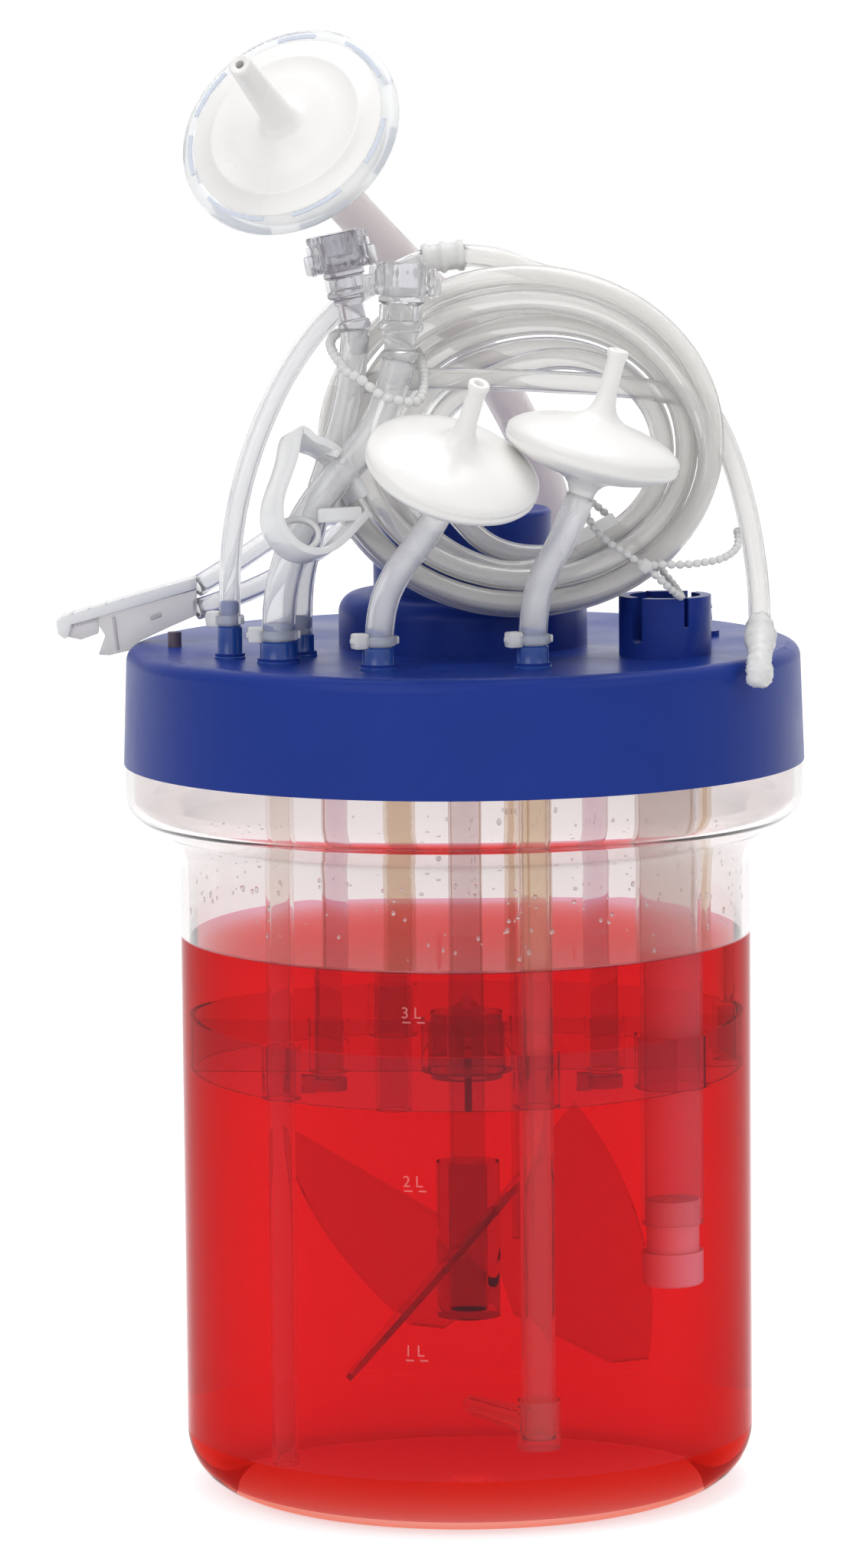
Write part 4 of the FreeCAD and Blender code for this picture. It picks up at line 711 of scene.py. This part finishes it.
def makeCoupling(side, facts):
    place = facts["centre"], facts["way"]
    body = lathe(facts["outline"], 48)
    reach, height = facts["finAt"]
    for number in range(facts["fins"]):
        addBlock(body, facts["fin"], (reach, 0, height), about=number * 360 / facts["fins"], soft=0.2)
    put(side + "CouplingBody", laid(body, *place), facts["finish"],
        replaced=[side + "_coupling"], sharp=40)
    ring = lathe(facts["ring"], facts["flutes"] * 4, closed=True)
    for vert in ring.verts:
        if math.hypot(vert.co.x, vert.co.y) > lockFacts["from"] * mm:
            dip = 0.5 - 0.5 * math.cos(facts["flutes"] * math.atan2(vert.co.y, vert.co.x))
            vert.co.x, vert.co.y = (c * (1 - lockFacts["dip"] * dip) for c in (vert.co.x, vert.co.y))
    (out, level), (further, up) = facts["wingAt"], lockFacts["nubAt"]
    nub = [size * share for size, share in zip(facts["wing"], lockFacts["nub"])]
    for angle in (0, 180):
        addBlock(ring, facts["wing"], (out, 0, level), about=angle, soft=0.8)
        addBlock(ring, nub, (out + further, 0, level + up), about=angle)
    put(facts["ringName"], laid(ring, *place), facts["finish"], body=side + "_lock",
        replaced=[nodeNamed(facts["ringName"])], sharp=40)


for side, facts in couplingFacts.items():
    makeCoupling(side, facts)
print("couplings:", len(couplingFacts))

# ---- ports: blue cups and barbs that show through the tubes, and the ties round them
deckTop = 248.6
portFacts = {
    "tall": 16.4, "low": 11.4, "cup": 0.45, "swell": 0.25, "tieAt": 0.6, "cupBelow": 0.5,
    # the tied lines, and where each tie's head is, in degrees
    "tied": {"gasLine": 155, "harvestLine": 186, "frontFilterLine": 205, "sideFilterLine": 205},
    "tieWide": 2.6, "tieWall": 1.1, "head": (4.4, 4.2, 4.5), "headSunk": 1.6, "nib": (1.2, 2.2, 1.4), "nibSunk": 1.7,
    "step": (1.1, 1.9, 2.2), "stepOut": 0.1, "stepTurn": 165,
}


def barbOutline(inner, tip):
    return [(inner - 0.8, tip - 4), (inner - 0.8, tip), (inner - 0.35, tip + 0.2), (inner, tip - 0.6),
            (inner, tip - 3.2), (inner - 0.3, tip - 3.4), (inner, tip - 6.6), (inner, deckTop + 0.2)]


def cupOutline(inner, radius, top):
    out, low = radius + portFacts["cup"], deckTop
    return [(out + 0.9, low - 0.2), (out + 0.9, low + 0.5), (out + 0.3, low + 1.1), (out, low + 1.8),
            (out, top - 0.4), (out - 0.3, top), (radius - 0.15, top + 0.05), (radius - 0.15, low + 1),
            (inner, low + 1)]


def tieBand(radius, reach, low, high):
    return lathe([(radius - 0.1, low), (reach - 0.2, low), (reach, low + 0.3), (reach, high - 0.3),
                  (reach - 0.2, high), (radius - 0.1, high)], 40, closed=True)


def tieHead(reach, middle, turnTo):
    head, long = bmesh.new(), portFacts["head"][0]
    for block, out, turn, soft in (("head", long / 2 - portFacts["headSunk"], 0, 0.7),
                                   ("nib", long - portFacts["nibSunk"], 0, 0.2),
                                   ("step", portFacts["stepOut"], portFacts["stepTurn"], 0.4)):
        addBlock(head, portFacts[block], (reach + out, 0, middle), about=turnTo + turn, soft=soft)
    return head


def makePorts():
    barbs, ties, bands = bmesh.new(), bmesh.new(), bmesh.new()
    for name, facts in hoseFacts.items():
        x, y = facts["points"][0][:2]
        radius, tall = facts["radius"], portFacts["tall" if name == "gasLine" else "low"]
        inner, tieLow = radius - facts["wall"] + portFacts["swell"], deckTop + portFacts["tieAt"] * tall
        parts = [(lathe(barbOutline(inner, deckTop + tall), 40), barbs),
                 (lathe(cupOutline(inner, radius, tieLow - portFacts["cupBelow"]), 40, closed=True), barbs)]
        if name in portFacts["tied"]:
            reach, wide = radius + portFacts["tieWall"], portFacts["tieWide"]
            parts += [(tieBand(radius, reach, tieLow, tieLow + wide), bands),
                      (tieHead(reach, tieLow + wide / 2, portFacts["tied"][name]), ties)]
        for part, target in parts:
            bmesh.ops.translate(part, vec=(x * mm, y * mm, 0), verts=part.verts)
            mesh = bpy.data.meshes.new("portPart")
            part.to_mesh(mesh)
            part.free()
            target.from_mesh(mesh)
            bpy.data.meshes.remove(mesh)
    put("portBarbs", barbs, "barbBlue")
    put("portTies", ties, "tieNylon", replaced=["port_ties"])
    put("portTieBands", bands, "tieBand")


makePorts()
print("ports:", len(hoseFacts))

# ---- beaded ties round the lines and the coil
beadFacts = {
    "upperCoilTie": {"spacing": 3.0, "bead": 1.5, "core": 0.6, "points": [
        (-34.5, -55, 334.5), (-32.5, -60, 331.8), (-28.9, -63, 330.6), (-26.7, -64.2, 328.8), (-24.1, -65, 326.4),
        (-20.6, -65.5, 324.7), (-17.5, -65.5, 324.2), (-13.6, -64, 323.3), (-11.4, -60, 324.4), (-10.9, -55, 326.4),
        (-10.5, -46, 329), (-11, -36, 333), (-14, -22, 338), (-22, -16.5, 342), (-30, -18.5, 342.5), (-36, -28, 341),
        (-37.5, -40, 339), (-36.5, -49, 337)]},
    "lowerCoilTie": {"spacing": 2.5, "bead": 1.2, "core": 0.5, "points": [
        (33, -45, 296), (36, -51.5, 288), (40, -55, 283.4), (44.5, -56.6, 280.5), (48.5, -57.4, 277.9),
        (51.5, -57.8, 276), (55, -57.6, 272.9), (58.5, -56.2, 269.5), (61.5, -51, 266.6), (62.5, -43, 265.5),
        (60, -32, 269), (52, -27.5, 278), (42, -28.5, 288), (35, -34, 294)]},
    "tail": [(51.5, -57.8, 276), (56, -57.6, 276.6), (61, -57.4, 276.2), (67.4, -56, 276.6), (73.2, -52.5, 277.2),
             (77.4, -47.5, 279), (79, -42, 281.5), (78.4, -37, 284.5)],
    "lock": (51.5, -58.3, 276), "lockSize": (3.4, 3.0, 4.0), "lockTilt": (0, 38, 0), "long": 1.12,
}


def pointsAlong(points, spacing, closed):
    line = layLine("bead", points, 12)
    line.data.splines[0].use_cyclic_u = closed
    line.data.splines[0].use_endpoint_u = not closed
    path = pathOf(line)
    path += path[:1] if closed else []
    bpy.data.objects.remove(line)
    spots, carried = [path[0]], 0
    for first, last in zip(path, path[1:]):
        run = (last - first).length
        while carried + run >= spacing:
            first = first.lerp(last, (spacing - carried) / run)
            run = (last - first).length
            spots.append(first.copy())
            carried = 0
        carried += run
    return spots


def makeBeadedTie(name, extra=None):
    form, facts = bmesh.new(), beadFacts[name]
    spacing, bead, core = (facts[key] * mm for key in ("spacing", "bead", "core"))
    spots = pointsAlong(facts["points"], spacing, True)
    if extra:
        spots += pointsAlong(extra, spacing, False)
    for spot, after in zip(spots, spots[1:] + spots[-1:]):
        aim = aimed(after - spot if after != spot else (0, 0, 1))
        place = Matrix.Translation(spot) @ aim @ Matrix.Diagonal((1, 1, beadFacts["long"], 1))
        bmesh.ops.create_uvsphere(form, u_segments=8, v_segments=6, radius=bead, matrix=place)
        if (after - spot).length < 2 * spacing:
            middle = Matrix.Translation(spot.lerp(after, 0.5)) @ aim
            bmesh.ops.create_cone(form, cap_ends=True, segments=6, radius1=core, radius2=core, depth=spacing,
                                  matrix=middle)
    if extra:
        addBlock(form, beadFacts["lockSize"], beadFacts["lock"], soft=0.9, tilt=beadFacts["lockTilt"])
    put(name, form, "tieNylon", replaced=[nodeNamed(name)], sharp=60)


makeBeadedTie("upperCoilTie")
makeBeadedTie("lowerCoilTie", beadFacts["tail"])
print("beaded ties")

# ---- pinch clamp on the harvest line
clampFacts = {
    "depth": -62.4, "width": 13, "wall": 2.1, "soft": 0.45, "centre": (-42, -62.4, 297), "turn": (-16, 0, 24),
    "strip": [(-27.8, 290), (-32.5, 285.8), (-37.2, 281.8), (-41.2, 279.7), (-45.8, 278.9), (-50.2, 280.2),
              (-53.5, 283), (-56.5, 287.9), (-56.8, 292.4), (-55.4, 297.8), (-51.8, 304.4), (-49.4, 309.6),
              (-48.2, 314.4), (-46, 316.8), (-43.4, 315.4), (-41.4, 313), (-38.1, 312.2), (-33.8, 308.9),
              (-31.4, 304.2), (-29.4, 299.5), (-27.6, 296)],
    "eyelet": (-46.9, -66.5, 286.8), "eyeletReach": (6.9, 5.5), "eyeletDeep": 3.0, "eyeletWall": 1.5,
    "eyeletSoft": 0.4, "eyeletTurn": (-20, 0, 0),
    "bar": (12.5, 3.2, 4.0), "barAt": (-34.8, -64.5, 292.1), "barTilt": (0, -2, 8),
    "tooth": (1.2, 7, 2.0), "toothTilt": (0, 35, 24), "teeth": [(-36.5, 309.2), (-34.6, 307.2)],
}


def makeEyelet(form):
    # the ring that the line passes through
    kept = set(form.verts)
    across, up = clampFacts["eyeletReach"]
    turns = [math.radians(angle) for angle in range(0, 360, 12)]
    loop = [form.verts.new((across * math.cos(turn) * mm, 0, up * math.sin(turn) * mm)) for turn in turns]
    edges = [form.edges.new(pair) for pair in zip(loop, loop[1:] + loop[:1])]
    moveRaised(form, bmesh.ops.extrude_edge_only(form, edges=edges), (0, clampFacts["eyeletDeep"], 0))
    faces = around(newVerts(form, kept))
    faceOutwards(form, faces)
    bmesh.ops.solidify(form, geom=faces, thickness=clampFacts["eyeletWall"] * mm)
    made = newVerts(form, kept)
    faceOutwards(form, around(made))
    softened(form, clampFacts["eyeletSoft"], around(made, "link_edges"), 50)
    move = Matrix.Translation(Vector(clampFacts["eyelet"]) * mm) @ turned(clampFacts["eyeletTurn"])
    bmesh.ops.transform(form, matrix=move, verts=newVerts(form, kept))


def makePinchClamp():
    near = clampFacts["depth"] - clampFacts["width"] / 2
    form = formOf(layLine("clampStrip", [(x, near, z) for x, z in clampFacts["strip"]], 6))
    moveRaised(form, bmesh.ops.extrude_edge_only(form, edges=list(form.edges)), (0, clampFacts["width"], 0))
    faceOutwards(form)
    bmesh.ops.solidify(form, geom=list(form.faces), thickness=clampFacts["wall"] * mm)
    faceOutwards(form)
    softened(form, clampFacts["soft"], limit=50)
    centre = Matrix.Translation(Vector(clampFacts["centre"]) * mm)
    bmesh.ops.transform(form, matrix=centre @ turned(clampFacts["turn"]) @ centre.inverted(), verts=form.verts)
    makeEyelet(form)
    addBlock(form, clampFacts["bar"], clampFacts["barAt"], soft=0.7, tilt=clampFacts["barTilt"])
    for along, height in clampFacts["teeth"]:
        addBlock(form, clampFacts["tooth"], (along, clampFacts["depth"], height), tilt=clampFacts["toothTilt"])
    put("pinchClamp", form, "clampPlastic", replaced=["pinch_clamp"], sharp=45)


makePinchClamp()

# ---- clamp on the two back lines
lineClampFacts = {
    "bar": [(-119.2, 255.2), (-118.8, 251.4), (-116.8, 249.8), (-115.4, 250.6), (-114.8, 254), (-107.6, 255.9),
            (-102.2, 257.4), (-94.3, 259.6), (-78, 264.2), (-78, 267.6), (-94.3, 263.2), (-117.2, 256.6)],
    "jaw": [(-115.6, 250.2), (-112, 249.4), (-106.9, 251.2), (-106.6, 256.2), (-115, 254)],
    "trigger": [(-108, 256), (-104.9, 250.6), (-106.9, 245), (-103.6, 244.8), (-97.6, 246.2), (-94.6, 249),
                (-86.4, 252.8), (-78, 256.4), (-78, 264), (-94, 259.9)],
    "barDeep": (9, 17), "jawDeep": (10.4, 15.6), "triggerDeep": (9.8, 16.2),
    "middle": 13, "teeth": 6, "tooth": (0.55, 4.4, 0.9), "toothFrom": (-114.2, 253.3), "toothStep": (1.15, 0.3105),
    "notches": 4, "notch": (0.7, 8.3, 0.5), "notchFrom": (-114.5, 257.35), "notchStep": (5, 1.385),
    "ribs": [((1.0, 7.2, 9.6), (-101.8, 13, 251), -6), ((3.4, 7.0, 1.0), (-90, 13, 256), -20)],
}


def addRow(form, size, start, step, count, lean):
    # blocks one after another along a slope
    for number in range(count):
        along, height = (a + b * number for a, b in zip(start, step))
        addBlock(form, size, (along, lineClampFacts["middle"], height), soft=0.12, tilt=(0, lean, 0))


def makeLineClamp():
    facts = lineClampFacts
    form = bmesh.new()
    addOutline(form, facts["bar"], *facts["barDeep"], soft=0.35)
    addRow(form, facts["tooth"], facts["toothFrom"], facts["toothStep"], facts["teeth"], 30)
    addRow(form, facts["notch"], facts["notchFrom"], facts["notchStep"], facts["notches"], -16)
    put("lineClampBar", form, "clampPlastic", replaced=["line_clamp"], sharp=40)
    form = bmesh.new()
    addOutline(form, facts["jaw"], *facts["jawDeep"], soft=0.3)
    addOutline(form, facts["trigger"], *facts["triggerDeep"])
    for size, centre, lean in facts["ribs"]:
        addBlock(form, size, centre, tilt=(0, lean, 0))
    put("lineClampJaw", form, "greyClear", sharp=40)


makeLineClamp()
print("clamps")

# ---- joiner and wrapped tail of the coil's line
joinerFacts = {
    "centre": (-10, -27.4, 361.9), "way": (10, 0.6, 1),
    "outline": [(3.2, -0.8), (4.1, -0.8), (4.4, -0.3), (4.4, 0.9), (3.9, 1.4), (3.9, 4), (4.5, 4.6), (4.6, 5.4),
                (3.9, 6.2), (3.9, 8.8), (4.4, 9.4), (4.4, 10.8), (3.9, 11.2), (3.2, 11.2)],
}
tailFacts = {
    "points": [(84.5, -46.5, 259.2), (84.4, -48.8, 257.2), (84.3, -51.5, 255.2), (84.2, -54.5, 253.4),
               (83.9, -58, 251), (83.7, -61, 248), (83.5, -62.8, 244.8), (83.3, -63.6, 242.2)],
    "radii": [3.7, 3.9, 4.8, 4.2, 3.4, 3.7, 4.1, 3.0], "crumple": 0.55, "smoothing": 0.35,
}
put("lineJoiner", laid(lathe(joinerFacts["outline"], 40, closed=True), joinerFacts["centre"], joinerFacts["way"]),
    "tieNylon", replaced=["line_joiner"], sharp=50)


def makeTail():
    line = layLine("tailWrap", tailFacts["points"], 6)
    for spot, radius in zip(line.data.splines[0].points, tailFacts["radii"]):
        spot.radius = radius
    line.data.bevel_depth, line.data.bevel_resolution, line.data.use_fill_caps = mm, 7, True
    form = formOf(line)
    bmesh.ops.remove_doubles(form, verts=form.verts, dist=1e-6)
    faceOutwards(form)
    form.normal_update()
    for vert in list(form.verts):
        vert.co += vert.normal * random.uniform(-1, 1) * tailFacts["crumple"] * mm
    bmesh.ops.smooth_vert(form, verts=form.verts, factor=tailFacts["smoothing"], use_axis_x=True, use_axis_y=True,
                          use_axis_z=True)
    put("tailPlug", form, "tapeWhite", replaced=["tail_plug"], sharp=80)


makeTail()

# ---- litre marks on the front of the shell
markFacts = {
    "at": -17, "heights": {"3": 149.6, "2": 101.3, "1": 52.5}, "digit": 4.6, "shell": 83.5, "sunk": 0.02,
    "thick": 0.1, "textAt": (-2, 1.2), "dashes": [(-1.6, 2.4), (2.6, 2.2)], "dash": 0.22, "longest": 1.2,
}


def flatText(words):
    text = bpy.data.curves.new("markText", "FONT")
    text.body, text.size = words, markFacts["digit"] * mm
    label = addObject("markText", text)
    flat = meshOf(label)
    bpy.data.objects.remove(label)
    return flat


def makeMarks():
    form = bmesh.new()
    right, up = markFacts["textAt"]
    for digit, height in markFacts["heights"].items():
        kept = set(form.verts)
        flat = flatText(digit + " L")
        form.from_mesh(flat)
        bpy.data.meshes.remove(flat)
        place = Vector((markFacts["at"] + right, height + up, 0)) * mm
        bmesh.ops.translate(form, vec=place, verts=newVerts(form, kept))
        low, high = height - markFacts["dash"], height + markFacts["dash"]
        for start, long in markFacts["dashes"]:
            left = markFacts["at"] + start
            corners = [(left, low), (left + long, low), (left + long, high), (left, high)]
            form.faces.new([form.verts.new((x * mm, z * mm, 0)) for x, z in corners])
    longEdges = [e for e in form.edges if e.calc_length() > markFacts["longest"] * mm]
    bmesh.ops.subdivide_edges(form, edges=longEdges, cuts=3, use_grid_fill=True)
    bmesh.ops.triangulate(form, faces=form.faces)
    moveRaised(form, bmesh.ops.extrude_face_region(form, geom=list(form.faces)), (0, 0, markFacts["thick"]))
    # bent round the shell
    shell = markFacts["shell"] * mm
    for vert in form.verts:
        angle, reach = math.radians(-90) + vert.co.x / shell, shell - markFacts["sunk"] * mm + vert.co.z
        vert.co = (reach * math.cos(angle), reach * math.sin(angle), vert.co.y)
    faceOutwards(form)
    put("litreMarks", form, "markPrint", sharp=30)


makeMarks()

# ---- drops of condensation inside the neck
dropFacts = {"count": 220, "wall": 81.1, "low": 165.5, "high": 189.5, "size": (0.3, 1.0), "lift": 0.6, "flat": 0.45,
             "tall": (1, 1.5), "sunk": 0.05}


def makeDrops():
    form = bmesh.new()
    for _ in range(dropFacts["count"]):
        angle = random.uniform(0, 2 * math.pi)
        height = dropFacts["low"] + (dropFacts["high"] - dropFacts["low"]) * random.random() ** dropFacts["lift"]
        size = random.uniform(*dropFacts["size"]) * random.uniform(0.5, 1)
        reach = dropFacts["wall"] - dropFacts["sunk"] * size
        spot = Vector((reach * math.cos(angle), reach * math.sin(angle), height)) * mm
        stretch = Matrix.Diagonal((dropFacts["flat"], 1, random.uniform(*dropFacts["tall"]), 1))
        place = Matrix.Translation(spot) @ Matrix.Rotation(angle, 4, "Z") @ stretch
        bmesh.ops.create_icosphere(form, subdivisions=2, radius=size * mm, matrix=place)
    put("condensation", form, "waterDrop", sharp=180)


makeDrops()
print("marks and drops")

# ---- shell and liquid: a wall that the liquid wets bends light little, and its inner face not at all
vesselFacts = {
    "corners": [(0, 0, 0), (83.5, 0, 17.5), (83.5, 164, 0), (83.5, 190.7, 14), (99.1, 201.3, 8.5), (99.1, 214.6, 0)],
    "wall": 2.4, "film": 0.03, "level": 162.7, "steps": 160, "middle": 80,
    # how the liquid rises at the wall: distance in from the wall, and height above the level
    "rise": [(0, 1.3), (0.55, 1.15), (1.1, 0.5), (2.1, 0.14), (3.8, 0)], "skin": (0.03, 0.12),
}


def roundedCorners(corners, steps=8):
    points = []
    for number, (r, z, radius) in enumerate(corners):
        here = Vector((r, z))
        if not radius:
            points.append((r, z))
            continue
        before = (Vector(corners[number - 1][:2]) - here).normalized()
        after = (Vector(corners[number + 1][:2]) - here).normalized()
        half = before.angle(after) / 2
        centre = here + (before + after).normalized() * radius / math.sin(half)
        first, last = here + before * radius / math.tan(half), here + after * radius / math.tan(half)
        for step in range(steps + 1):
            spoke = (first - centre).lerp(last - centre, step / steps).normalized() * radius
            points.append(tuple(centre + spoke))
    return points


def insetCorners(corners, wall, top):
    moved = []
    for number, (r, z, radius) in enumerate(corners):
        here = Vector((r, z))
        ways = []
        if number:
            ways.append((here - Vector(corners[number - 1][:2])).normalized())
        if number + 1 < len(corners):
            ways.append((Vector(corners[number + 1][:2]) - here).normalized())
        inward = [Vector((-way.y, way.x)) for way in ways]
        share = wall if len(ways) < 2 else wall / (1 + inward[0].dot(inward[1]))
        spot = here + sum(inward, Vector((0, 0))) * share
        turning = len(ways) > 1 and ways[0].cross(ways[1]) < 0
        moved.append((max(spot.x, 0), min(spot.y, top), radius and (radius + wall if turning else radius - wall)))
    return moved


def makeShell():
    corners, wall = vesselFacts["corners"], vesselFacts["wall"]
    inside = roundedCorners(insetCorners(corners, wall, corners[-1][1]))
    shell = put("vesselShell", lathe(roundedCorners(corners) + inside[::-1], vesselFacts["steps"]), "clearShell",
                replaced=["vessel"], sharp=50)
    for name in ("wetShell", "wetWall", "wetFoot"):
        shell.data.materials.append(finish[name])
    for face in shell.data.polygons:
        if face.center.z < corners[2][1] * mm:
            outward = face.normal.dot(face.center - Vector((0, 0, vesselFacts["middle"] * mm))) > 0
            footed = face.center.z < corners[1][2] * mm
            face.material_index = 2 if not outward else 3 if footed else 1


def fillVessel():
    outer, steps = vesselFacts["corners"][:3], vesselFacts["steps"]
    corners = insetCorners(outer, vesselFacts["wall"] + vesselFacts["film"], outer[2][1])
    level, inner = vesselFacts["level"], corners[2][0]
    top = [(inner - inward, level + rise) for inward, rise in vesselFacts["rise"]] + [(0, level)]
    put("liquid", lathe(roundedCorners(corners) + top[1:], steps), "redMedium",
        replaced=["culture_medium"], sharp=60)
    # the bright skin on top that mirrors the headspace
    low, high = vesselFacts["skin"]
    skin = [(r, z + low) for r, z in top[::-1]] + [(r, z + high) for r, z in top]
    put("liquidSkin", lathe(skin, steps), "mediumSurface", sharp=60)


makeShell()
fillVessel()
print("shell and liquid")
